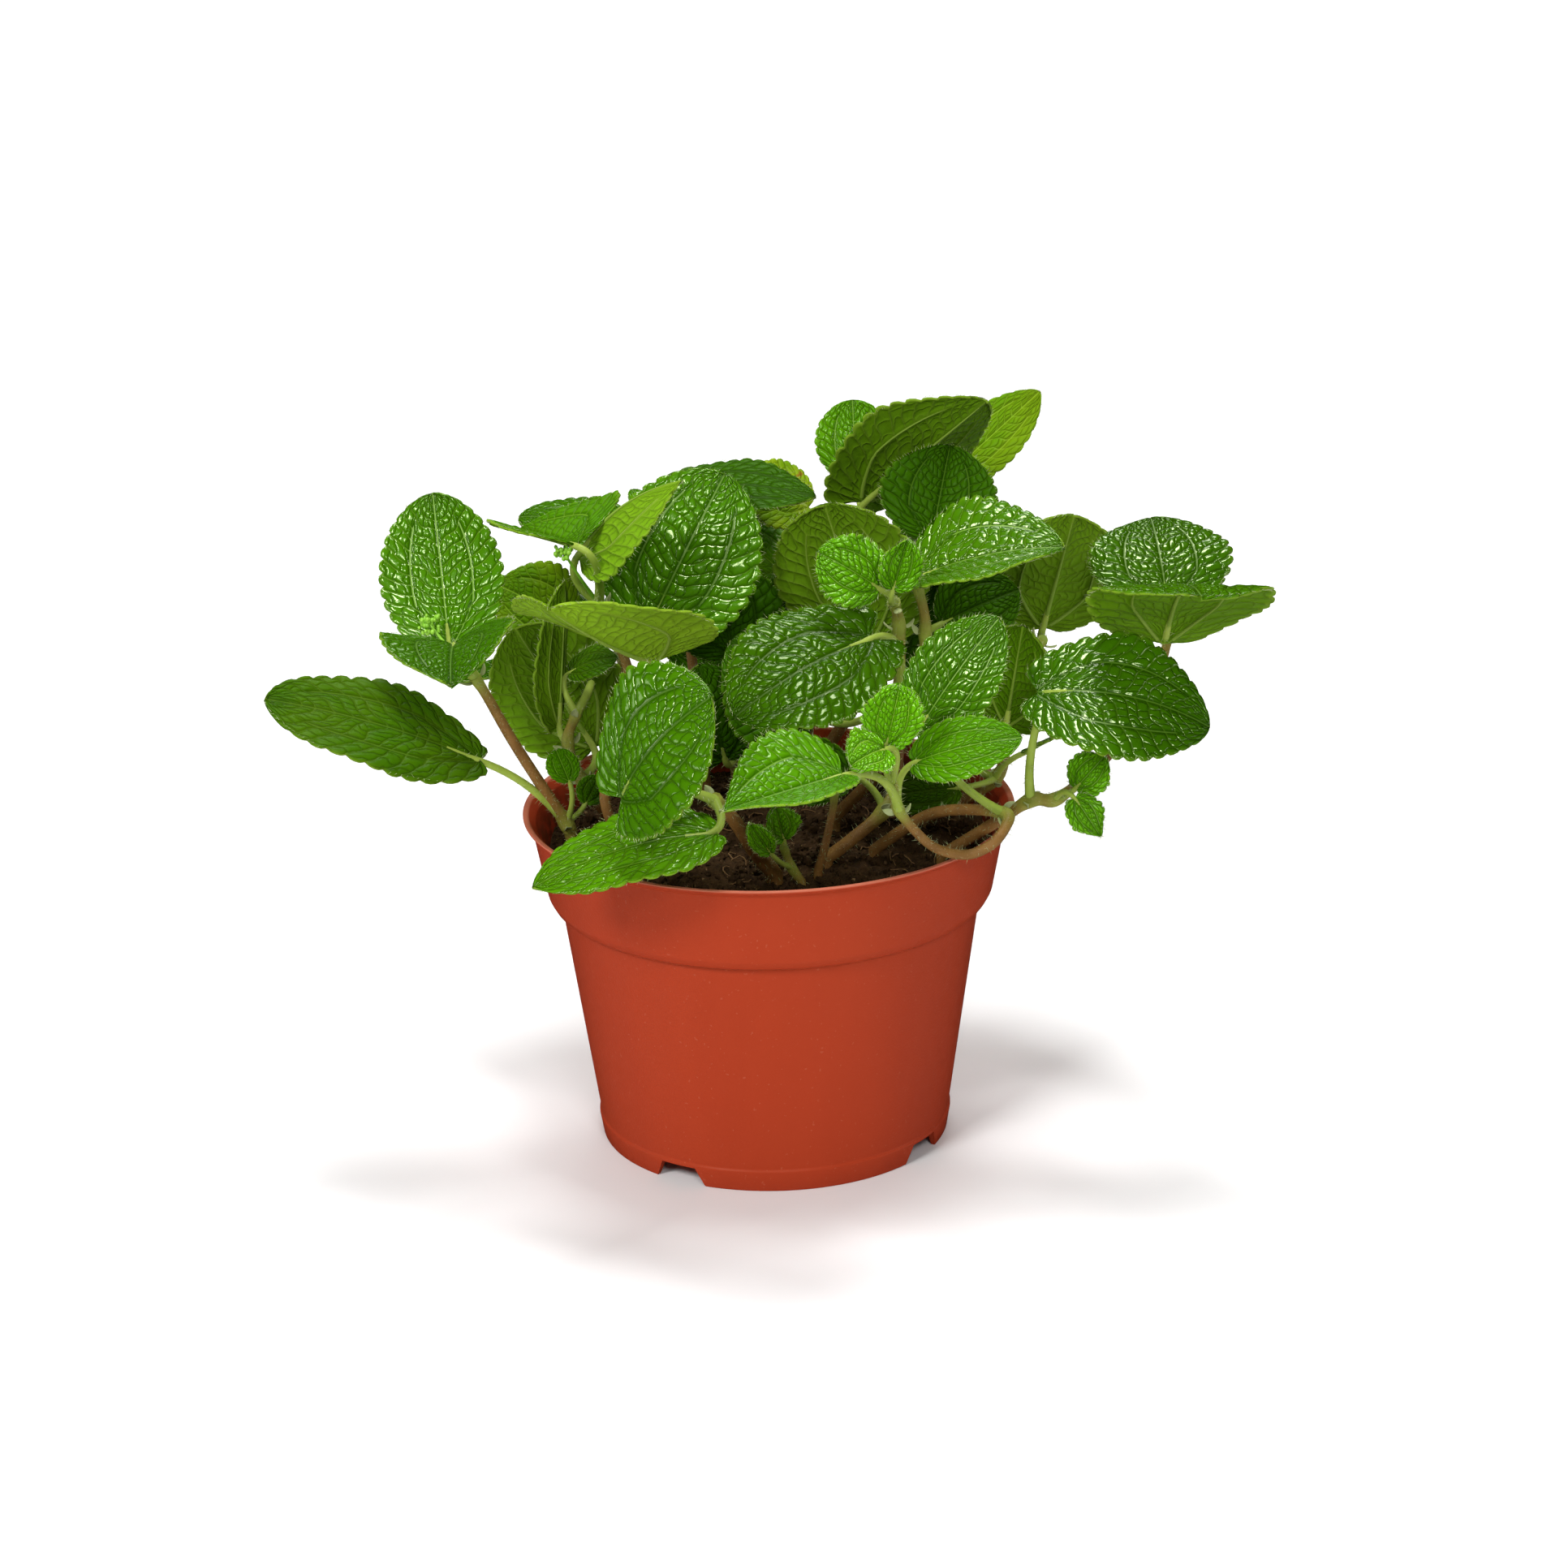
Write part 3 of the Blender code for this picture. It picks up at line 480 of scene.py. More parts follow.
def weld(item, distance, outward=False):
    """Merges the points nearer than distance, and turns the faces outward if asked."""
    pick(item)
    bpy.ops.object.mode_set(mode="EDIT")
    bpy.ops.mesh.select_all(action="SELECT")
    bpy.ops.mesh.remove_doubles(threshold=distance * MM)
    if outward:
        bpy.ops.mesh.normals_make_consistent(inside=False)
    bpy.ops.object.mode_set(mode="OBJECT")


def thicken(item, thickness, underside=0):
    """Gives a sheet its thickness, and its underside and edge the material so many slots on."""
    solid = item.modifiers.new("thickness", "SOLIDIFY")
    solid.thickness = thickness * MM
    solid.offset = 0.0
    solid.material_offset = solid.material_offset_rim = underside
    apply_modifiers(item)


def get_points(item):
    """The mesh's points, one row each."""
    points = np.empty(len(item.data.vertices) * 3)
    item.data.vertices.foreach_get("co", points)
    return points.reshape(-1, 3)


def set_points(item, points):
    """Moves the mesh's points."""
    item.data.vertices.foreach_set("co", np.asarray(points, float).ravel())
    item.data.update()


def new_grid(name, columns, rows):
    """A square grid from -1 to 1, to be shaped, and its points."""
    bpy.ops.mesh.primitive_grid_add(x_subdivisions=columns, y_subdivisions=rows, size=2.0)
    item = bpy.context.object
    item.name = name
    return item, get_points(item)


def write_values(item, name, values, kind="FLOAT", field="value"):
    """Keeps a value for each vertex, which the material reads by name."""
    layer = item.data.attributes.new(name, kind, "POINT")
    layer.data.foreach_set(field, np.asarray(values, float).ravel())


def new_curve(name, resolution, *materials):
    """A curve for round runs, whose radii are in millimetres."""
    curve = bpy.data.curves.new(name, "CURVE")
    curve.dimensions = "3D"
    curve.bevel_depth = MM
    curve.bevel_resolution = resolution
    curve.use_fill_caps = True
    for title in materials:
        curve.materials.append(MATERIALS[title])
    return curve


def add_run(curve, points, radii, slot=0):
    """One round run of the curve, with its own thickness at each point."""
    spline = curve.splines.new("POLY")
    spline.points.add(len(points) - 1)
    for place, point, radius in zip(spline.points, points, radii):
        place.co = (*(point * MM), 1.0)
        place.radius = radius
    spline.material_index = slot


def curve_mesh(curve):
    """The curve's runs as a mesh."""
    pick(link_object(curve.name, curve))
    bpy.ops.object.convert(target="MESH")
    return bpy.context.object


def finish_piece(item, slot, *nodes):
    """Gives the piece its body and hides the nodes that it stands for; its slot is not used."""
    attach(item, "root")
    if nodes:
        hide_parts(*nodes)
    return item


def scatter(name, template, places, turns, material):
    """One mesh of many copies of a small modelled shape: turns are 3 by 3 with their scale."""
    points = get_points(settle(template))
    faces = [tuple(face.vertices) for face in template.data.polygons]
    count = len(points)
    everything = (np.einsum("nij,kj->nki", turns, points) + places[:, None, :]) * MM
    rows = [tuple(v + n * count for v in face) for n in range(len(places)) for face in faces]
    mesh = bpy.data.meshes.new(name)
    mesh.from_pydata(everything.reshape(-1, 3).tolist(), [], rows)
    mesh.materials.append(MATERIALS[material])
    bpy.data.objects.remove(template, do_unlink=True)
    return link_object(name, mesh)


# Material helpers


class Paint:
    """A material while its nodes are made: a value is a socket, a number or a colour."""

    def __init__(self, name, roughness, specular=0.5, tint=(1.0, 1.0, 1.0)):
        self.material = bpy.data.materials.new(name)
        self.material.use_nodes = True
        self.tree = self.material.node_tree
        self.shader = self.tree.nodes["Principled BSDF"]
        self.shader.inputs["Roughness"].default_value = roughness
        self.shader.inputs["Specular IOR Level"].default_value = specular
        self.shader.inputs["Specular Tint"].default_value = (*tint, 1.0)
        self.place = self.node("TexCoord").outputs["Object"]

    def link(self, value, socket):
        """A socket is linked, and a number or colour is set."""
        if isinstance(value, bpy.types.NodeSocket):
            self.tree.links.new(value, socket)
        else:
            socket.default_value = (*value, 1.0) if socket.type == "RGBA" else value

    def node(self, kind, inputs=None, **settings):
        """A new node with its settings, and with its inputs by name or number."""
        item = self.tree.nodes.new("ShaderNode" + kind)
        for title, value in settings.items():
            setattr(item, title, value)
        for title, value in (inputs or {}).items():
            self.link(value, item.inputs[title])
        return item

    def calculate(self, operation, *values):
        """Result of one operation on the values."""
        return self.node("Math", dict(enumerate(values)), operation=operation).outputs[0]

    def times(self, first, second):
        """Product of the two values."""
        return self.calculate("MULTIPLY", first, second)

    def plus(self, first, second):
        """Sum of the two values."""
        return self.calculate("ADD", first, second)

    def scale(self, value, factor, offset):
        """The value times its factor, with the offset added."""
        return self.calculate("MULTIPLY_ADD", value, factor, offset)

    def step(self, value, low, high, start=0.0, end=1.0):
        """Goes smoothly from start to end while value goes from low to high."""
        inputs = {"Value": value, "From Min": low, "From Max": high, "To Min": start, "To Max": end}
        return self.node("MapRange", inputs, interpolation_type="SMOOTHSTEP").outputs["Result"]

    def mix(self, share, first, second):
        """The first colour at share 0, and the second at share 1."""
        item = self.node("Mix", {"Factor": share}, data_type="RGBA")
        for socket, value in zip([s for s in item.inputs if s.type == "RGBA"], (first, second)):
            self.link(value, socket)
        return [socket for socket in item.outputs if socket.type == "RGBA"][0]

    def coat(self, colour, *coats):
        """The colour under its coats: each is a share and the colour that covers that share."""
        for share, cover in coats:
            colour = self.mix(share, colour, cover)
        return colour

    def read(self, name, output="Fac"):
        """Value that the piece keeps for each vertex under this name."""
        return self.node("Attribute", attribute_name=name).outputs[output]

    def mottle(self, scale, detail=2.0, place=None):
        """Cloudy noise with features of about one over scale metres."""
        place = self.place if place is None else place
        inputs = {"Scale": scale, "Detail": detail, "Vector": place}
        return self.node("TexNoise", inputs).outputs["Fac"]

    def done(self, colour, height=None, depth=0.0, strength=1.0):
        """Gives the shader its colour and relief, and hands over the material."""
        self.link(colour, self.shader.inputs["Base Color"])
        if height is not None:
            inputs = {"Strength": strength, "Distance": depth, "Height": height}
            relief = self.node("Bump", inputs).outputs["Normal"]
            self.link(relief, self.shader.inputs["Normal"])
        return self.material


def dome(paint, gap):
    """Rounded rise from 0 at a vein to 1 half way between two."""
    hollow = paint.calculate("POWER", paint.scale(gap, -2.0, 1.0), 4.0)
    return paint.calculate("SUBTRACT", 1.0, hollow)


def quilting(paint):
    """Vein lines and pillow heights from the leaf's own quilt coordinates."""
    row, column, main = paint.node("SeparateXYZ", {0: paint.read("quilt", "Vector")}).outputs
    row = paint.plus(row, paint.scale(paint.mottle(210.0, 1.0), 0.6, -0.3))
    shift = paint.calculate("FRACT", paint.times(paint.calculate("FLOOR", row), 0.37))
    column = paint.scale(column, 1.4, shift)
    column = paint.plus(column, paint.scale(paint.mottle(330.0, 1.0), 1.4, -0.7))
    row_gap = paint.calculate("PINGPONG", row, 0.5)
    column_gap = paint.calculate("PINGPONG", column, 0.5)
    main_line = paint.step(main, 0.08, 0.28, 1.0, 0.0)
    row_line = paint.step(row_gap, 0.02, 0.085, 1.0, 0.0)
    column_line = paint.step(column_gap, 0.0, 0.16, 1.0, 0.0)
    rise = paint.times(dome(paint, row_gap), paint.scale(dome(paint, column_gap), 0.75, 0.25))
    rise = paint.times(rise, paint.step(main, 0.1, 1.2))
    return main_line, row_line, column_line, paint.times(rise, paint.read("relief"))


def leaf_upper(name, specular, rough, polish):
    """Upper side: quilted, deep to fresh green, with lighter veins and gloss on the pillows,
    painted shade in the valleys between the pillows and a painted highlight on their crowns.
    """
    paint = Paint(name, rough, specular, (0.85, 1.0, 0.55))
    main_line, row_line, _, rise = quilting(paint)
    youth, yellow = paint.read("youth"), paint.read("yellow")
    cloud = paint.mottle(130.0, 3.0)
    deep = paint.mix(cloud, (0.019, 0.072, 0.0), (0.033, 0.115, 0.0005))
    fresh = paint.mix(cloud, (0.063, 0.24, 0.0), (0.118, 0.38, 0.002))
    # painted shade: the valleys between the pillows are coloured a darker green
    painted_valley_shade = paint.mix(youth, (0.010, 0.042, 0.0), (0.030, 0.125, 0.0))
    green = paint.mix(paint.step(rise, 0.0, 0.5, 0.25, 1.0), painted_valley_shade, paint.mix(youth, deep, fresh))
    # painted highlight: the crowns of the pillows are coloured a lighter green
    painted_crown_highlight = paint.mix(youth, (0.040, 0.14, 0.001), (0.165, 0.50, 0.005))
    veins = paint.calculate("MAXIMUM", main_line, paint.times(row_line, 0.75))
    veins = paint.times(veins, paint.scale(paint.read("light"), 0.9, 0.1))
    vein_green = paint.mix(youth, (0.15, 0.33, 0.02), (0.24, 0.48, 0.02))
    margin = paint.step(paint.read("rim"), 0.93, 1.0, 0.0, 0.4)
    margin_green = paint.mix(youth, (0.13, 0.27, 0.01), (0.25, 0.5, 0.02))
    patch = paint.step(paint.mottle(90.0, 4.0), 0.72, 0.42)
    worn = paint.times(yellow, paint.scale(patch, 0.6, 0.3))
    spots = paint.step(paint.mottle(260.0, 3.0), 0.62, 0.7)
    spots = paint.times(spots, paint.step(yellow, 0.5, 0.9))
    green = paint.coat(green, (paint.step(rise, 0.4, 1.0, 0.0, 0.45), painted_crown_highlight), (veins, vein_green),
                       (margin, margin_green), (worn, (0.25, 0.34, 0.008)),
                       (spots, (0.20, 0.085, 0.01)))
    # own darker green and painted shade: the colour is darkened by the leaf's brightness share
    green = paint.mix(paint.read("tone_and_shade"), (0.0, 0.0, 0.0), green)
    gloss = paint.scale(paint.read("shine"), -polish, rough)
    gloss = paint.plus(gloss, paint.scale(paint.mottle(400.0), 0.12, -0.06))
    gloss = paint.plus(gloss, paint.times(main_line, 0.3))
    paint.link(gloss, paint.shader.inputs["Roughness"])
    return paint.done(green, paint.plus(rise, paint.times(paint.mottle(1100.0), 0.16)), 0.0003)


def leaf_under():
    """Underside: matt olive with raised lighter veins."""
    paint = Paint("leaf_under", 0.6, 0.1, (0.7, 1.0, 0.3))
    main_line, row_line, column_line, rise = quilting(paint)
    cloud = paint.mottle(110.0, 3.0)
    olive = paint.mix(cloud, (0.046, 0.13, 0.0), (0.083, 0.2, 0.0008))
    pale = paint.mix(cloud, (0.185, 0.41, 0.008), (0.28, 0.54, 0.014))
    veins = paint.calculate("MAXIMUM", main_line, paint.times(row_line, 0.5))
    veins = paint.calculate("MAXIMUM", veins, paint.times(column_line, 0.22))
    margin = paint.step(paint.read("rim"), 0.93, 1.0, 0.0, 0.5)
    green = paint.coat(paint.mix(paint.read("light"), olive, pale),
                       (paint.step(rise, 0.0, 0.8, 0.3, 0.0), (0.035, 0.09, 0.0)),
                       (paint.times(veins, 0.5), (0.22, 0.35, 0.03)), (margin, (0.24, 0.38, 0.03)),
                       (paint.times(paint.read("yellow"), 0.5), (0.28, 0.33, 0.03)))
    # own darker green and painted shade: the colour is darkened by the leaf's brightness share
    green = paint.mix(paint.read("tone_and_shade"), (0.0, 0.0, 0.0), green)
    fine = paint.times(paint.mottle(1100.0), 0.3)
    return paint.done(green, paint.calculate("SUBTRACT", fine, rise), 0.0005, 0.8)


def stem_skin():
    """Stem: pinkish brown between the joints and yellow-green at them, with fine ribs."""
    paint = Paint("stem_skin", 0.5, 0.2)
    cloud = paint.mottle(350.0, 4.0)
    brown = paint.mix(cloud, (0.125, 0.056, 0.012), (0.30, 0.155, 0.038))
    fresh = paint.mix(cloud, (0.17, 0.22, 0.02), (0.34, 0.40, 0.06))
    colour = paint.mix(paint.read("green"), brown, fresh)
    specks = paint.step(paint.mottle(2600.0, 1.0), 0.62, 0.72, 0.0, 0.35)
    colour = paint.coat(colour, (specks, (0.42, 0.28, 0.14)))
    return paint.done(colour, paint.mottle(1500.0, 3.0), 0.0003, 0.5)


def rib_skin():
    """Raised ribs under the blades: as green as the underside, only lighter."""
    paint = Paint("rib_skin", 0.5, 0.2)
    cloud = paint.mottle(260.0)
    dark = paint.mix(cloud, (0.11, 0.19, 0.012), (0.17, 0.27, 0.025))
    pale = paint.mix(cloud, (0.22, 0.35, 0.035), (0.30, 0.44, 0.06))
    colour = paint.mix(paint.read("light"), dark, pale)
    return paint.done(colour, paint.mottle(1400.0), 0.0002, 0.4)


def mottled(name, roughness, specular, cloud, dark, light, grain=None, depth=0.0, strength=0.5):
    """Two mottled colours, and fine bumps: cloud and grain are the scale and detail of a noise."""
    paint = Paint(name, roughness, specular)
    colour = paint.mix(paint.mottle(*cloud), dark, light)
    return paint.done(colour, paint.mottle(*grain) if grain else None, depth, strength)


def soil_material(name):
    """Dark peaty compost with crumbs, pale flecks and damp patches."""
    paint = Paint(name, 0.9, 0.1)
    cells = paint.node("TexVoronoi", {"Scale": 420.0, "Vector": paint.place})
    crumbs = cells.outputs["Distance"]
    flecks = paint.step(paint.mottle(700.0), 0.66, 0.74, 0.0, 0.6)
    colour = paint.mix(paint.mottle(160.0, 5.0), (0.005, 0.0025, 0.001), (0.036, 0.018, 0.006))
    colour = paint.coat(colour, (paint.times(crumbs, 0.35), (0.12, 0.062, 0.022)),
                        (flecks, (0.30, 0.19, 0.09)))
    return paint.done(colour, paint.plus(paint.mottle(900.0, 5.0), crumbs), 0.0008, 0.9)


def painted_inner_shade(paint, place):
    """Share of painted shade on the collar's inner wall, darkest just above the compost and mottled
    like smeared soil.
    """
    x, y, z = place
    across = paint.calculate("SQRT", paint.plus(paint.times(x, x), paint.times(y, y)))
    slope = (COLLAR_RADIUS - COLLAR_FOOT_RADIUS) / (COLLAR_TOP - COLLAR_FOOT)
    middle = (COLLAR_FOOT_RADIUS - WALL / 2.0 - slope * COLLAR_FOOT) * MM
    inside = paint.calculate("LESS_THAN", across, paint.scale(z, slope, middle))
    above = paint.calculate("GREATER_THAN", z, (SOIL_TOP - 3.0) * MM)
    height = paint.step(z, (SOIL_TOP + 0.5) * MM, (POT_HEIGHT - 1.0) * MM, 0.75, 0.0)
    smear = paint.step(paint.mottle(320.0, 4.0), 0.35, 0.6, 0.25, 1.0)
    return paint.times(paint.times(inside, above), paint.times(height, smear))


def pot_material():
    """Satin injection-moulded plastic in terracotta: faint flow streaks, cloudy patches and specks,
    a painted highlight along the lip and painted shade on the inner wall just above the compost.
    """
    paint = Paint("pot_terracotta_plastic", 0.38, 0.14, (1.0, 0.55, 0.4))
    drawn = paint.node("Mapping", {"Scale": (1.0, 1.0, 0.12), "Vector": paint.place})
    streaks = paint.mottle(60.0, 3.0, drawn.outputs["Vector"])
    cloud = paint.times(paint.mottle(28.0, 3.0), 0.35)
    specks = paint.step(paint.mottle(1300.0, 1.0), 0.7, 0.76, 0.0, 0.12)
    place = paint.node("SeparateXYZ", {0: paint.place}).outputs
    # painted highlight: a paler band along the top edge of the lip
    painted_lip_highlight = paint.step(place[2], (POT_HEIGHT - 0.45) * MM, (POT_HEIGHT - 0.1) * MM, 0.0, 0.55)
    colour = paint.mix(streaks, (0.32, 0.035, 0.0115), (0.38, 0.045, 0.0145))
    colour = paint.coat(colour, (cloud, (0.38, 0.036, 0.013)), (specks, (0.62, 0.25, 0.16)),
                        (painted_lip_highlight, (0.62, 0.22, 0.14)),
                        # painted shade on the inner wall, darkest just above the compost
                        (painted_inner_shade(paint, place), (0.03, 0.014, 0.005)))
    gloss = paint.scale(paint.mottle(240.0, 4.0), 0.18, 0.29)
    paint.link(gloss, paint.shader.inputs["Roughness"])
    grain = paint.plus(paint.mottle(1800.0), paint.times(streaks, 2.0))
    return paint.done(colour, grain, 0.00012, 0.35)


MATERIALS = {
    "leaf_waxy": leaf_upper("leaf_upper_waxy", 0.65, 0.28, 0.12),
    "leaf_glossy": leaf_upper("leaf_upper_glossy", 0.24, 0.28, 0.14),
    "leaf_matt": leaf_upper("leaf_upper_matt", 0.05, 0.42, 0.12),
    "leaf_under": leaf_under(),
    "stem_skin": stem_skin(),
    "stalk_skin": mottled("stalk_skin", 0.42, 0.2, (260.0, 3.0), (0.20, 0.29, 0.028),
                          (0.36, 0.46, 0.075), (1400.0, 2.0), 0.0002, 0.4),
    "rib_skin": rib_skin(),
    "membrane": mottled("stipule_membrane", 0.55, 0.5, (600.0, 3.0), (0.22, 0.28, 0.09),
                        (0.40, 0.44, 0.20), (600.0, 3.0), 0.0003),
    "hair": mottled("fine_hair", 0.4, 0.5, (90.0, 2.0), (0.30, 0.36, 0.14), (0.52, 0.56, 0.30)),
    "bud": mottled("flower_buds", 0.4, 0.5, (500.0, 2.0), (0.15, 0.42, 0.015),
                   (0.34, 0.62, 0.05), (2500.0, 2.0), 0.0002),
    "soil": soil_material("compost"),
    "crumb": soil_material("compost_crumb"),
    "fibre": mottled("dry_fibre", 0.7, 0.1, (300.0, 3.0), (0.07, 0.032, 0.010),
                     (0.22, 0.13, 0.055), (1500.0, 2.0), 0.0002),
    "pot": pot_material(),
}


# Leaves


def margin_teeth(width):
    """Scallops down one margin: fewer and smaller on the young leaves."""
    return 15 if width > 25 else 13 if width > 17 else 11 if width > 10 else 8


def margin_rows(spec, rows):
    """Places along the leaf that are about as far apart along its margin."""
    t = 0.5 - 0.5 * np.cos(np.linspace(0.0, math.pi, 400))
    width = half_width(t, spec["point"]) * spec["width"] / 2.0
    run = run_lengths(np.hypot(np.diff(t) * leaf_length(spec), np.diff(width)))
    level = np.linspace(0.0, 1.0, rows + 1)
    return 0.75 * np.interp(level, run / run[-1], t) + 0.25 * level


def make_blade(name, spec, look):
    """A quilted blade with a scalloped margin, worked out of a grid and given its thickness."""
    relief, width = look["relief"], spec["width"]
    teeth = margin_teeth(width)
    rows = ROWS_PER_TOOTH * teeth
    item, grid = new_grid(name, BLADE_COLUMNS if width > 11 else YOUNG_COLUMNS, rows)
    across = grid[:, 0]
    reach = np.abs(across)
    rank = (grid[:, 1] + 1.0) / 2.0 * rows
    t = np.interp(rank, np.arange(rows + 1), margin_rows(spec, rows))
    tooth = rank / ROWS_PER_TOOTH
    phase = rng.uniform(0.0, TURN, 6)

    # Quilts in rows that run out to the teeth, and in columns between the main veins
    lane = vein_lane(t)
    column = np.where(reach < lane, INNER_QUILTS * reach / lane,
                      INNER_QUILTS + OUTER_QUILTS * (reach - lane) / (1.0 - lane))
    inside = 1.0 - reach ** 4
    row = tooth + (2.0 + 2.0 * t) * (1.0 - reach) + teeth
    row += inside * (0.16 * np.sin(2.3 * column + 0.9 * row + phase[0])
                     + 0.12 * np.sin(1.7 * row + 3.0 * across + phase[1]))
    column = column + inside * (0.16 * np.sin(1.9 * row + phase[2])
                                + 0.1 * np.sin(4.3 * row + phase[3]))
    half = width / 2.0 * half_width(t, spec["point"])
    side_vein = half * np.abs(reach - lane) + 2.0 * np.clip((t - 0.8) / 0.2, 0.0, 1.0)
    main = np.minimum(half * reach, side_vein) / (0.35 + 0.65 * width / 30.0)

    # Pillows between the veins, a crimp along the edge, and the scallops
    row_dip = np.abs(np.sin(math.pi * row)) ** 0.48
    column_dip = np.abs(np.sin(math.pi * (column + 0.5 * (np.floor(row) % 2)))) ** 0.45
    groove = np.clip(main / 1.2, 0.0, 1.0)
    pillow = row_dip * (0.3 + 0.7 * column_dip) * (groove * groove * (3.0 - 2.0 * groove))
    height = (0.16 + 0.007 * width) * relief
    lift = height * (pillow * (1.0 - 0.5 * reach ** 10) - 0.45 - 0.3 * reach ** 8)
    ruffle = 0.02 * relief ** 1.5 * width
    lift += ruffle * reach ** 3 * np.sin(TURN * t * 1.7 + phase[4] + across)
    scallop = 0.035 * (1.0 + relief) * np.abs(np.sin(math.pi * tooth)) ** 0.55
    edge = np.clip((reach - 0.8) / 0.2, 0.0, 1.0) ** 2
    size = 1.0 + edge * (scallop - 0.045) * np.clip(t / 0.03, 0.0, 1.0)
    set_points(item, leaf_surface(spec, t, across * size, lift) * MM)

    write_values(item, "quilt", np.column_stack((row, column, main)), "FLOAT_VECTOR", "vector")
    write_values(item, "rim", reach)
    for title, value in look.items():
        value = np.clip(value + rng.uniform(-0.05, 0.05), 0.0, 1.0)
        write_values(item, title, np.full(len(t), value))
    shine = look["shine"]
    finish = "leaf_waxy" if shine > 0.95 else "leaf_glossy" if shine > 0.6 else "leaf_matt"
    item.data.materials.append(MATERIALS[finish])
    item.data.materials.append(MATERIALS["leaf_under"])
    weld(item, 0.01)
    thicken(item, YOUNG_BLADE if width < 12 else BLADE, 1)
    bpy.ops.object.shade_smooth()
    return item


# Stems, hairs and buds


def stem_line(spec):
    """Stem's centre line and its radii, swollen at the joints that carry leaves."""
    start = np.array((*spec["foot"], SOIL_TOP - HOLE_DEPTH + GAP + 0.5))
    path = [start, (start + spec["path"][0]) / 2.0] + smooth_path(spec["path"], STEM_STEPS)
    joints = [spec["path"][item["node"]] for item in spec["leaves"]]
    radii = []
    for k, point in enumerate(path):
        radius = spec["thick"] / 2.0 * (1.0 - 0.28 * k / (len(path) - 1))
        near = min(np.linalg.norm(point - joint) for joint in joints)
        radii.append(radius * (1.0 + 0.35 * math.exp(-(near / 2.2) ** 2)))
    return path, radii, joints


def rib_lines(spec):
    """The three main ribs on the underside, as runs with their radii."""
    up = leaf_frame(spec)[1]
    size = min(1.0, spec["width"] / 28.0)
    taper = 1.0 - 0.85 * np.linspace(0.0, 1.0, RIB_STEPS)
    runs = []
    for lane, last, thick in ((0.0, 0.94, 0.62), (1.0, 0.8, 0.42), (-1.0, 0.8, 0.42)):
        t = np.linspace(0.03, last, RIB_STEPS)
        points = leaf_surface(spec, t, lane * vein_lane(t)) - (BLADE / 2.0 + 0.15) * up
        runs.append((points, thick * size * taper))
    return runs


def make_stem(name, spec, looks):
    """Stem, leaf stalks and ribs of one shoot, drawn as round runs and made a mesh."""
    curve = new_curve(name, 3, "stem_skin", "stalk_skin", "rib_skin")
    path, radii, joints = stem_line(spec)
    add_run(curve, path, radii)
    stalks = []
    for item in spec["leaves"]:
        line = stalk_path(spec["path"][item["node"]], item)
        slim = min(1.0, 0.55 + item["width"] / 50.0)
        k = np.arange(len(line))
        thickness = 0.95 * slim * (1.0 + 0.25 * np.exp(-k / 1.5)) * (1.0 - 0.018 * k)
        thickness[-1] = 0.55 * slim
        add_run(curve, line, thickness, 1)
        stalks.append((line, thickness))
        for points, sizes in rib_lines(item):
            add_run(curve, points, sizes, 2)
    stem = curve_mesh(curve)
    points = get_points(stem) / MM
    near = np.min([np.linalg.norm(points - joint, axis=1) for joint in joints], axis=0)
    young = np.clip((points[:, 2] - 95.0) / 60.0, 0.0, 0.35)
    write_values(stem, "green", np.clip(np.exp(-(near / 3.2) ** 2) + young, 0.0, 1.0))
    light = np.zeros(len(points))
    for item, look in zip(spec["leaves"], looks):
        from_middle = np.linalg.norm(points - (item["base"] + item["tip"]) / 2.0, axis=1)
        light[from_middle < 0.55 * leaf_length(item)] = look["light"]
    write_values(stem, "light", light)
    bpy.ops.object.shade_smooth()
    return stem, (path, radii), stalks


def make_stipules(name, spec):
    """Two thin pale scales at each joint, between its leaf stalks."""
    scales, done = [], []
    for item in spec["leaves"]:
        if item["node"] in done or item["width"] < 10:
            continue
        done.append(item["node"])
        joint = spec["path"][item["node"]]
        ahead = unit(joint - spec["path"][max(item["node"] - 1, 0)])
        out = unit(np.cross(ahead, item["base"] - joint))
        for way in (out, -out):
            base = joint + way * spec["thick"] * 0.42 - ahead * 0.6
            tip = base + unit(ahead * 0.8 + way) * STIPULE_LENGTH
            face = way - ahead * 0.5
            shape = make_leaf(0, base, tip, STIPULE_WIDTH, face, arch=0.2, point=0.8)
            scale, grid = new_grid(name, 6, 8)
            across, t = grid[:, 0], (grid[:, 1] + 1.0) / 2.0
            set_points(scale, leaf_surface(shape, t, across, 0.25 * across ** 2) * MM)
            scale.data.materials.append(MATERIALS["membrane"])
            weld(scale, 0.01)
            thicken(scale, STIPULE)
            scales.append(scale)
    return scales


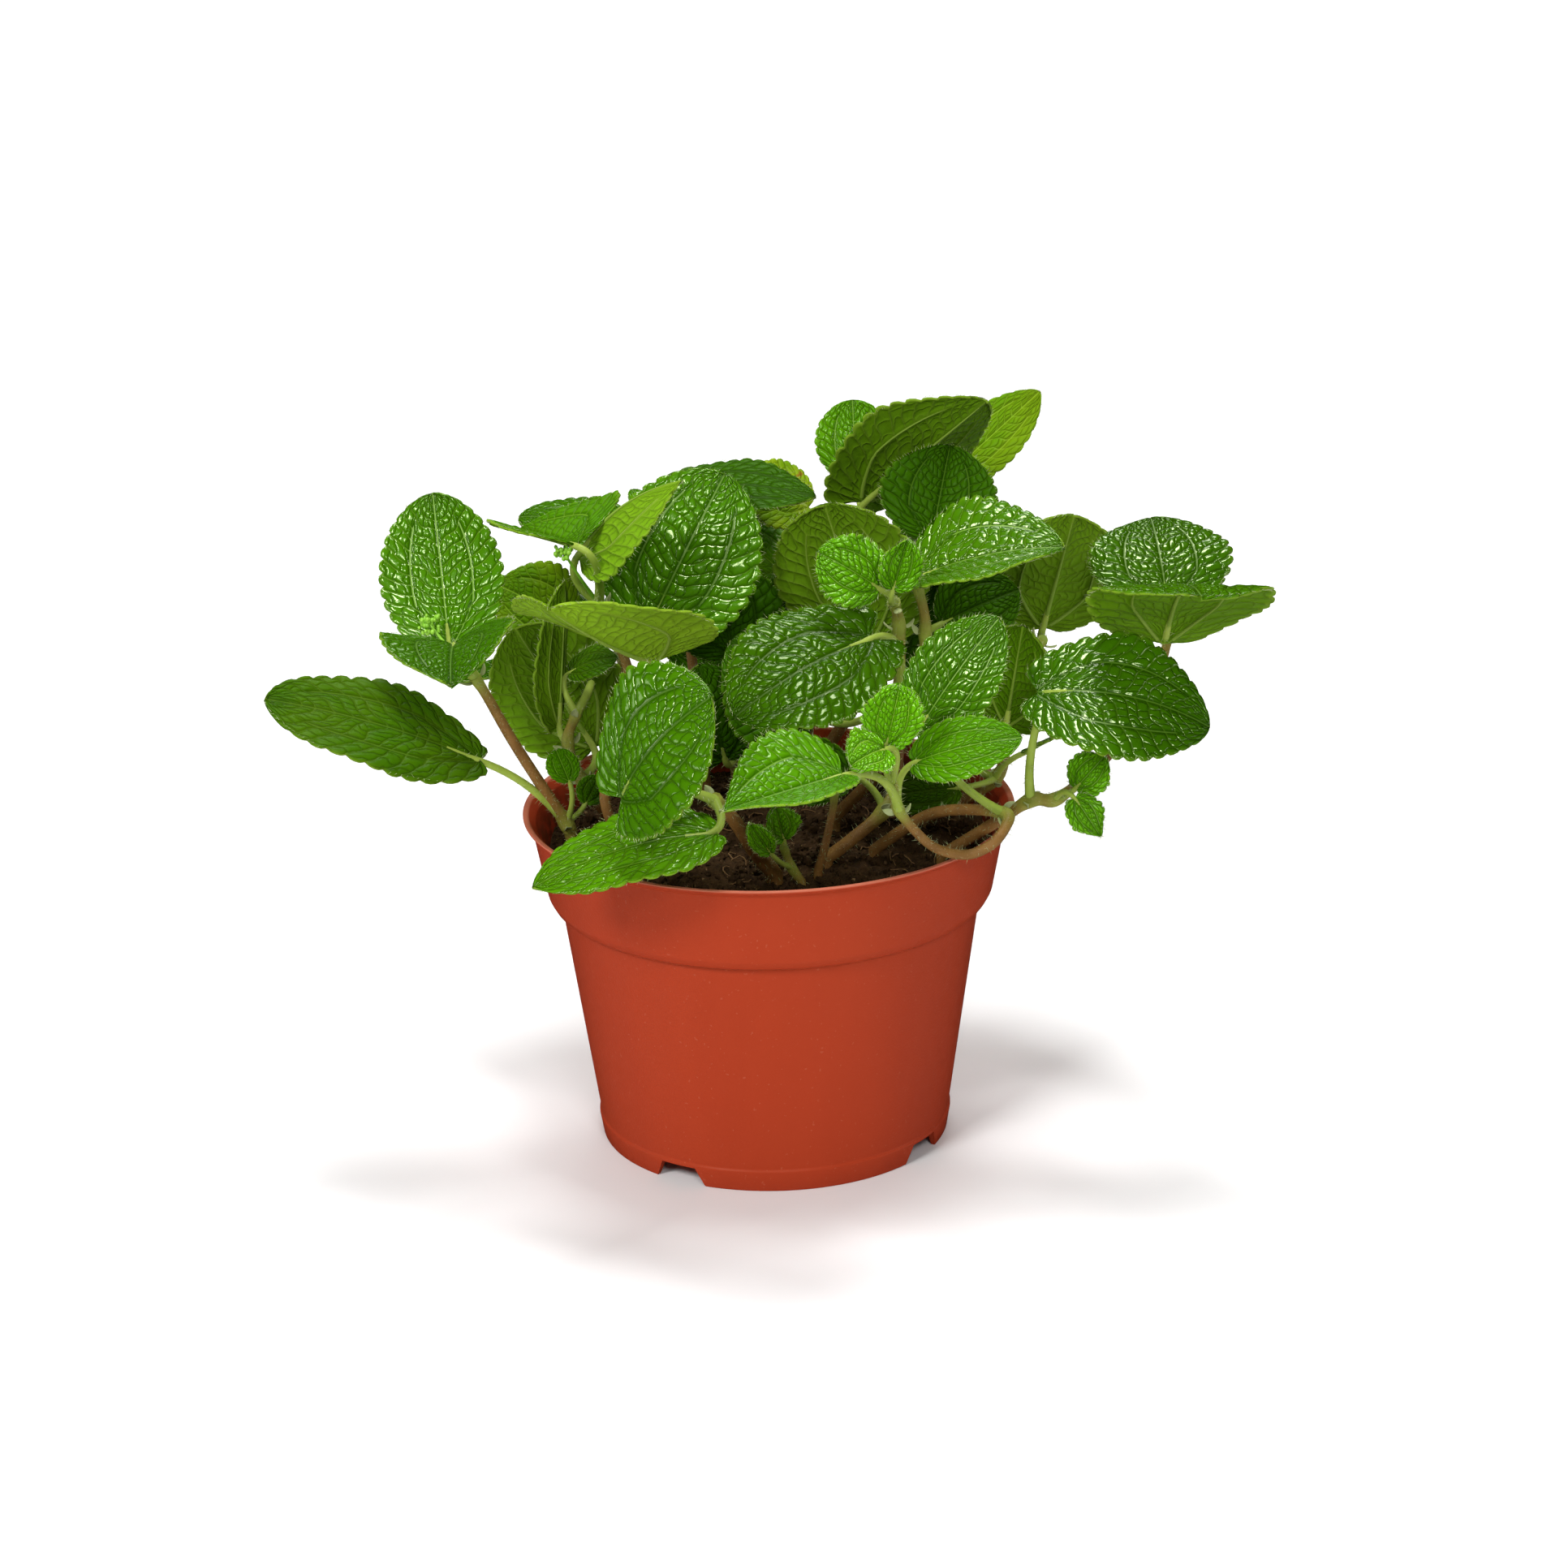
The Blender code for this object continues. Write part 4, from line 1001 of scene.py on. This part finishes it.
def hair_roots(stem, stalks, spec):
    """Where hairs stand on one shoot, and which way: on its stem, stalks and leaf margins."""
    roots, ways = [], []
    lines = [(stem, STEM_HAIR_SPACING)] + [(stalk, STALK_HAIR_SPACING) for stalk in stalks]
    for (line, radii), spacing in lines:
        line = np.array(line)
        steps = np.linalg.norm(np.diff(line, axis=0), axis=1)
        run = run_lengths(steps)
        for place in np.arange(0.0, run[-1], spacing):
            place = place + rng.uniform(-0.3, 0.3)
            point = np.array([np.interp(place, run, line[:, i]) for i in range(3)])
            k = min(max(int(np.searchsorted(run, place)) - 1, 0), len(steps) - 1)
            ahead = unit(line[k + 1] - line[k])
            way = rng.normal(size=3)
            way = unit(way - np.dot(way, ahead) * ahead)
            if point[2] > SOIL_TOP + 1.0:
                roots.append(point + way * np.interp(place, run, radii) * 0.95)
                ways.append(unit(way + 0.35 * rng.normal(size=3)))
    for item in spec["leaves"]:
        up = leaf_frame(item)[1]
        level = np.linspace(0.03, 0.99, int(4.2 * margin_teeth(item["width"])))
        places = 0.5 - 0.5 * np.cos(math.pi * level)
        for turn in (1.0, -1.0):
            t = np.clip(places + rng.uniform(-0.006, 0.006, len(places)), 0.005, 0.995)
            margin = leaf_surface(item, t, np.full(len(t), 0.985 * turn))
            inner = leaf_surface(item, np.clip(t - 0.06, 0.0, 1.0), np.full(len(t), 0.7 * turn))
            for root, inside in zip(margin, inner):
                roots.append(root)
                ways.append(unit(unit(root - inside) + 0.3 * rng.normal(size=3) + 0.25 * up))
    return roots, ways


def make_hairs(roots, ways):
    """Short fine hairs: one modelled needle, copied to every root."""
    bpy.ops.mesh.primitive_cone_add(vertices=3, radius1=HAIR_RADIUS, radius2=0.0, depth=1.0,
                                    location=(0.0, 0.0, 0.45))
    roots, ways = np.array(roots), np.array(ways)
    helper = np.where(np.abs(ways[:, 2:3]) < 0.8, (0.0, 0.0, 1.0), (1.0, 0.0, 0.0))
    first = np.cross(ways, helper)
    first /= np.linalg.norm(first, axis=1, keepdims=True)
    second = np.cross(ways, first)
    length = rng.uniform(*HAIR_LENGTHS, (len(ways), 1))
    turns = np.stack((first, second, ways * length), axis=2)
    return scatter("fine_hairs", bpy.context.object, roots, turns, "hair")


def make_buds(name, joint, centre, count, spread):
    """Cluster of tiny round flower buds on a short thin stalk from the stem's joint."""
    bpy.ops.mesh.primitive_ico_sphere_add(subdivisions=2, radius=1.0)
    places = centre + np.clip(rng.normal(size=(count, 3)), -1.6, 1.6) * spread
    sizes = rng.uniform(*BUD_RADII, count)
    turns = np.einsum("n,ij->nij", sizes, np.diag((1.0, 1.0, 1.15)))
    beads = scatter(name, bpy.context.object, places, turns, "bud")
    curve = new_curve(name + "_stalk", 1, "bud")
    bend = (joint + centre) / 2.0 + np.array((0.0, -1.0, 0.0))
    line = smooth_path([joint, bend, centre], BUD_STALK_STEPS)
    add_run(curve, line, np.linspace(*BUD_STALK_RADII, len(line)))
    item = join([beads, curve_mesh(curve)], name)
    bpy.ops.object.shade_smooth()
    return item


# Soil


def ground(x, y):
    """Height of the soil's top: its lumps, as the CAD solid has them, with pits and crumbs."""
    x, y = np.atleast_1d(x), np.atleast_1d(y)
    lumps = np.sin(0.21 * x + 1.3) * np.cos(0.17 * y - 0.4) + 0.5 * np.sin(0.43 * x - 0.36 * y)
    rough = [0.9 * noise.fractal(Vector((a * 0.35, b * 0.35, 0.0)), 0.9, 2.1, 4)
             + 0.35 * noise.noise(Vector((a * 1.3, b * 1.3, 5.0))) for a, b in zip(x, y)]
    return SOIL_TOP + 0.8 * lumps + np.array(rough)


def make_soil():
    """Plug of compost: a grid rounded to the pot, crumbly on top and drawn down to the floor."""
    item, grid = new_grid("compost", SOIL_GRID, SOIL_GRID)
    x = grid[:, 0] * np.sqrt(1.0 - grid[:, 1] ** 2 / 2.0) * SOIL_RADIUS
    y = grid[:, 1] * np.sqrt(1.0 - grid[:, 0] ** 2 / 2.0) * SOIL_RADIUS
    set_points(item, np.column_stack((x, y, ground(x, y))) * MM)
    pick(item)
    bpy.ops.object.mode_set(mode="EDIT")
    bpy.ops.mesh.select_mode(type="EDGE")
    bpy.ops.mesh.select_all(action="DESELECT")
    bpy.ops.mesh.select_non_manifold()
    drops = [(COLLAR_FOOT_RADIUS - WALL - GAP, COLLAR_FOOT + 0.1),
             (STEP_RADIUS - WALL - GAP, STEP_HEIGHT + 0.8),
             (FOOT_RADIUS - 0.6 - GAP, FLOOR_HEIGHT + WALL + GAP)]
    for _ in drops:
        bpy.ops.mesh.extrude_edges_move()
    bpy.ops.mesh.edge_face_add()
    bpy.ops.object.mode_set(mode="OBJECT")
    points = get_points(item)
    rings = np.split(points[len(grid):], len(drops))
    for part, (radius, height) in zip(rings, drops):
        angle = np.arctan2(part[:, 1], part[:, 0])
        part[:, 0], part[:, 1] = radius * MM * np.cos(angle), radius * MM * np.sin(angle)
        part[:, 2] = height * MM
    set_points(item, points)
    item.data.materials.append(MATERIALS["soil"])
    weld(item, 0.001, outward=True)
    return item


def make_crumbs():
    """Loose crumbs of compost on the soil between the stems."""
    bpy.ops.mesh.primitive_ico_sphere_add(subdivisions=1, radius=1.0)
    radius = CRUMB_SPREAD * np.sqrt(rng.uniform(0.0, 1.0, CRUMBS))
    angle = rng.uniform(0.0, TURN, CRUMBS)
    x, y = radius * np.cos(angle), radius * np.sin(angle)
    sizes = 0.25 + 1.1 * rng.uniform(0.0, 1.0, CRUMBS) ** 4
    places = np.column_stack((x, y, ground(x, y) + 0.3 * sizes))
    turns = np.linalg.qr(rng.normal(size=(CRUMBS, 3, 3)))[0]
    turns *= np.where(np.linalg.det(turns) < 0.0, -1.0, 1.0)[:, None, None]
    stretch = rng.uniform(0.55, 1.25, (CRUMBS, 1, 3)) * sizes[:, None, None]
    return scatter("compost_crumbs", bpy.context.object, places, turns * stretch, "crumb")


def make_fibres():
    """Dry fibres that lie curled on the compost."""
    curve = new_curve("compost_fibres", 0, "fibre")
    for _ in range(FIBRES):
        radius = FIBRE_SPREAD * math.sqrt(rng.uniform(0.0, 1.0))
        angle = rng.uniform(0.0, TURN)
        x, y = radius * math.cos(angle), radius * math.sin(angle)
        turn = rng.uniform(0.0, TURN)
        bend = rng.uniform(-0.6, 0.6)
        points = []
        for i in range(FIBRE_POINTS):
            z = ground(x, y)[0] + 0.35 + 0.5 * math.sin(0.5 * i)
            points.append(np.array((x, y, z)))
            x, y = x + FIBRE_STEP * math.cos(turn), y + FIBRE_STEP * math.sin(turn)
            turn += bend
            if math.hypot(x, y) > CRUMB_SPREAD - 0.5:
                break
        if len(points) > 2:
            add_run(curve, points, [FIBRE_RADIUS] * len(points))
    return curve_mesh(curve)


# Pot


def rounded(profile, radius):
    """The profile with each of its corners turned into a small arc of three points."""
    result = [profile[0]]
    for before, corner, after in zip(profile, profile[1:], profile[2:]):
        before, corner, after = np.array(before), np.array(corner), np.array(after)
        first, second = before - corner, after - corner
        cut = min(radius, 0.35 * np.linalg.norm(first), 0.35 * np.linalg.norm(second))
        start, end = corner + unit(first) * cut, corner + unit(second) * cut
        result += [tuple(start), tuple(0.25 * start + 0.5 * corner + 0.25 * end), tuple(end)]
    return result + [profile[-1]]


def pot_profile():
    """Pot's section from the underside of its floor, out, up, over the rim and down inside."""
    return [
        (0.0, FLOOR_HEIGHT), (FOOT_RADIUS - WALL, FLOOR_HEIGHT),
        (FOOT_RADIUS - WALL, 0.0), (FOOT_RADIUS, 0.0),
        (FOOT_RADIUS + 0.8, FLOOR_HEIGHT), (FOOT_RADIUS + 0.4, FLOOR_HEIGHT + 0.5),
        (STEP_RADIUS, STEP_HEIGHT), (46.4, STEP_HEIGHT + 1.0), (COLLAR_FOOT_RADIUS, COLLAR_FOOT),
        (COLLAR_RADIUS, COLLAR_TOP), (RIM_RADIUS, POT_HEIGHT - 0.5), (RIM_RADIUS, POT_HEIGHT),
        (RIM_RADIUS - WALL, POT_HEIGHT), (COLLAR_RADIUS - WALL, COLLAR_TOP),
        (COLLAR_FOOT_RADIUS - WALL, COLLAR_FOOT), (45.4, STEP_HEIGHT + 1.6),
        (STEP_RADIUS - WALL, STEP_HEIGHT + 0.8),
        (FOOT_RADIUS - 0.6, FLOOR_HEIGHT + WALL), (0.0, FLOOR_HEIGHT + WALL),
    ]


def cut_out(item, cutters):
    """Cuts the cutters out of the item and removes them."""
    for cutter in cutters:
        cut = item.modifiers.new("cut", "BOOLEAN")
        cut.operation = "DIFFERENCE"
        cut.solver = "EXACT"
        cut.object = cutter
    apply_modifiers(item)
    for cutter in cutters:
        bpy.data.objects.remove(cutter, do_unlink=True)


def notch_block(angle):
    """Block for one slanted notch in the foot's skirt, its top edges cut back."""
    a = math.radians(angle)
    bpy.ops.mesh.primitive_cube_add(size=1.0, location=(0.0, 0.0, 0.0))
    block = bpy.context.object
    points = get_points(block) * 2.0
    out = np.array((math.sin(a), -math.cos(a), 0.0))
    across = np.array((math.cos(a), math.sin(a), 0.0))
    reach = NOTCH_WIDTH / 2.0 - np.where(points[:, 2] > 0.0, NOTCH_SLANT, 0.0)
    height = np.where(points[:, 2] > 0.0, NOTCH_HEIGHT, -1.0)
    places = (np.outer(FOOT_RADIUS + 5.0 * points[:, 0], out)
              + np.outer(points[:, 1] * reach, across) + np.outer(height, (0.0, 0.0, 1.0)))
    set_points(block, places * MM)
    weld(block, 0.0001, outward=True)
    return block


def make_pot():
    """Pot: its section is spun, then the notches and drain holes are cut."""
    profile = rounded(pot_profile(), EDGE_ROUNDING)
    mesh = bpy.data.meshes.new("nursery_pot")
    mesh.from_pydata([(r * MM, 0.0, z * MM) for r, z in profile],
                     [(k, k + 1) for k in range(len(profile) - 1)], [])
    pot = pick(link_object("nursery_pot", mesh))
    bpy.ops.object.mode_set(mode="EDIT")
    bpy.ops.mesh.select_all(action="SELECT")
    bpy.ops.mesh.spin(steps=SPIN_STEPS, angle=TURN, center=(0.0, 0.0, 0.0), axis=(0.0, 0.0, 1.0))
    bpy.ops.object.mode_set(mode="OBJECT")
    weld(pot, 0.001, outward=True)
    cutters = [notch_block(angle) for angle in NOTCH_ANGLES]
    holes = [(0.0, 0.0)] + [heading(45.0 + 90.0 * k)[:2] * DRAIN_RING for k in range(4)]
    for x, y in holes:
        place = (x * MM, y * MM, (FLOOR_HEIGHT + WALL / 2.0) * MM)
        bpy.ops.mesh.primitive_cylinder_add(vertices=24, radius=DRAIN_RADIUS * MM, depth=4.0 * MM,
                                            location=place)
        cutters.append(settle(bpy.context.object))
    pot.data.materials.append(MATERIALS["pot"])
    cut_out(pot, cutters)
    pick(pot)
    bpy.ops.object.shade_smooth_by_angle(angle=math.radians(32.0))
    return pot


# Stage


def make_floor():
    """Pale floor under the pot, kept out of the reflections."""
    bpy.ops.mesh.primitive_plane_add(size=12.0, location=(0.0, 0.0, 0.0))
    floor = bpy.context.object
    floor.name = "floor"
    floor.data.materials.append(mottled("pale_floor", 0.6, 0.5, (3.0, 2.0), (0.86, 0.86, 0.86),
                                        (0.9, 0.9, 0.9)))
    floor.visible_glossy = False
    floor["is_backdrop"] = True


def make_light(name, place, size, power, aim=(0.0, 0.0, 0.09), mirrored=True):
    """Softbox at its place that looks at its aim, and that leaves show as flecks if mirrored."""
    data = bpy.data.lights.new(name, "AREA")
    data.shape = "RECTANGLE"
    data.size, data.size_y = size
    data.energy = power
    light = link_object(name, data)
    light.location = place
    light.visible_glossy = mirrored
    light.rotation_mode = "QUATERNION"
    light.rotation_quaternion = (Vector(aim) - Vector(place)).to_track_quat("-Z", "Y")


def make_camera():
    """Camera where the photograph was taken, with its slight roll."""
    data = bpy.data.cameras.new("photo_view")
    data.sensor_width = SENSOR_WIDTH
    data.lens = CAMERA_FOCUS / PHOTO_WIDTH * SENSOR_WIDTH
    data.clip_start, data.clip_end = 0.05, 20.0
    e, roll = math.radians(CAMERA_ELEVATION), math.radians(CAMERA_ROLL)
    forward = Vector((0.0, math.cos(e), -math.sin(e)))
    right = Vector((1.0, 0.0, 0.0))
    up = Vector((0.0, math.sin(e), math.cos(e)))
    turned_right = right * math.cos(roll) + up * math.sin(roll)
    turned_up = up * math.cos(roll) - right * math.sin(roll)
    axes = Matrix((turned_right, turned_up, -forward)).transposed()
    camera = link_object("photo_view", data)
    camera.matrix_world = Matrix.Translation(Vector(EYE * MM)) @ axes.to_4x4()
    bpy.context.scene.camera = camera


def make_stage():
    """Floor, pale surroundings, softboxes and camera."""
    make_floor()
    world = bpy.data.worlds.new("studio")
    bpy.context.scene.world = world
    world.use_nodes = True
    world.cycles_visibility.glossy = False
    background = world.node_tree.nodes["Background"]
    background.inputs["Color"].default_value = (1.0, 1.0, 1.0, 1.0)
    background.inputs["Strength"].default_value = WORLD_LIGHT
    make_light("softbox_front_left", (-0.7, -1.0, 0.95), (0.36, 0.32), 12.5)
    make_light("softbox_front", (0.18, -1.28, 0.87), (0.38, 0.27), 7.0)
    make_light("softbox_top", (0.05, 0.05, 1.35), (0.46, 0.30), 12.5)
    for name, side in (("softbox_left", -1.0), ("softbox_right", 1.0)):
        make_light(name, (1.2 * side, -0.15, 0.16), (0.5, 0.3), 1.6, (0.0, 0.0, 0.04))
    make_light("softbox_back", (0.1, 0.95, 1.2), (0.5, 0.2), 4.0)
    make_light("softbox_far_floor", (0.0, 1.9, 1.0), (2.6, 0.9), 22.0, (0.0, 1.6, 0.0), False)
    bpy.context.scene.view_settings.view_transform = "Standard"
    make_camera()


def main():
    """Makes every piece and the stage."""
    roots, ways = [], []
    for name, spec in SHOOTS.items():
        looks = [LOOKS[look] for look in LEAF_LOOKS[name].split()]
        blades = [make_blade(name, item, look) for item, look in zip(spec["leaves"], looks)]
        finish_piece(join(blades, name + "_blades"), "foliage", name)
        stem, line, stalks = make_stem(name + "_stem", spec, looks)
        scales = make_stipules(name + "_scale", spec)
        finish_piece(join([stem] + scales, name + "_stem"), "foliage", name)
        more_roots, more_ways = hair_roots(line, stalks, spec)
        roots += more_roots
        ways += more_ways
    finish_piece(make_hairs(roots, ways), "foliage")
    buds = [make_buds(f"{name}_buds", SHOOTS[name]["path"][-1], *cluster)
            for name, cluster in BUD_CLUSTERS.items()]
    finish_piece(join(buds, "flower_buds"), "foliage")
    finish_piece(make_soil(), "soil", "soil")
    finish_piece(make_crumbs(), "soil")
    finish_piece(make_fibres(), "soil")
    finish_piece(make_pot(), "pot_plastic", "pot")
    make_stage()


main()

total = 0
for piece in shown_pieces():
    total += sum(len(face.vertices) - 2 for face in piece.data.polygons)
print("triangles in the visual model:", total)
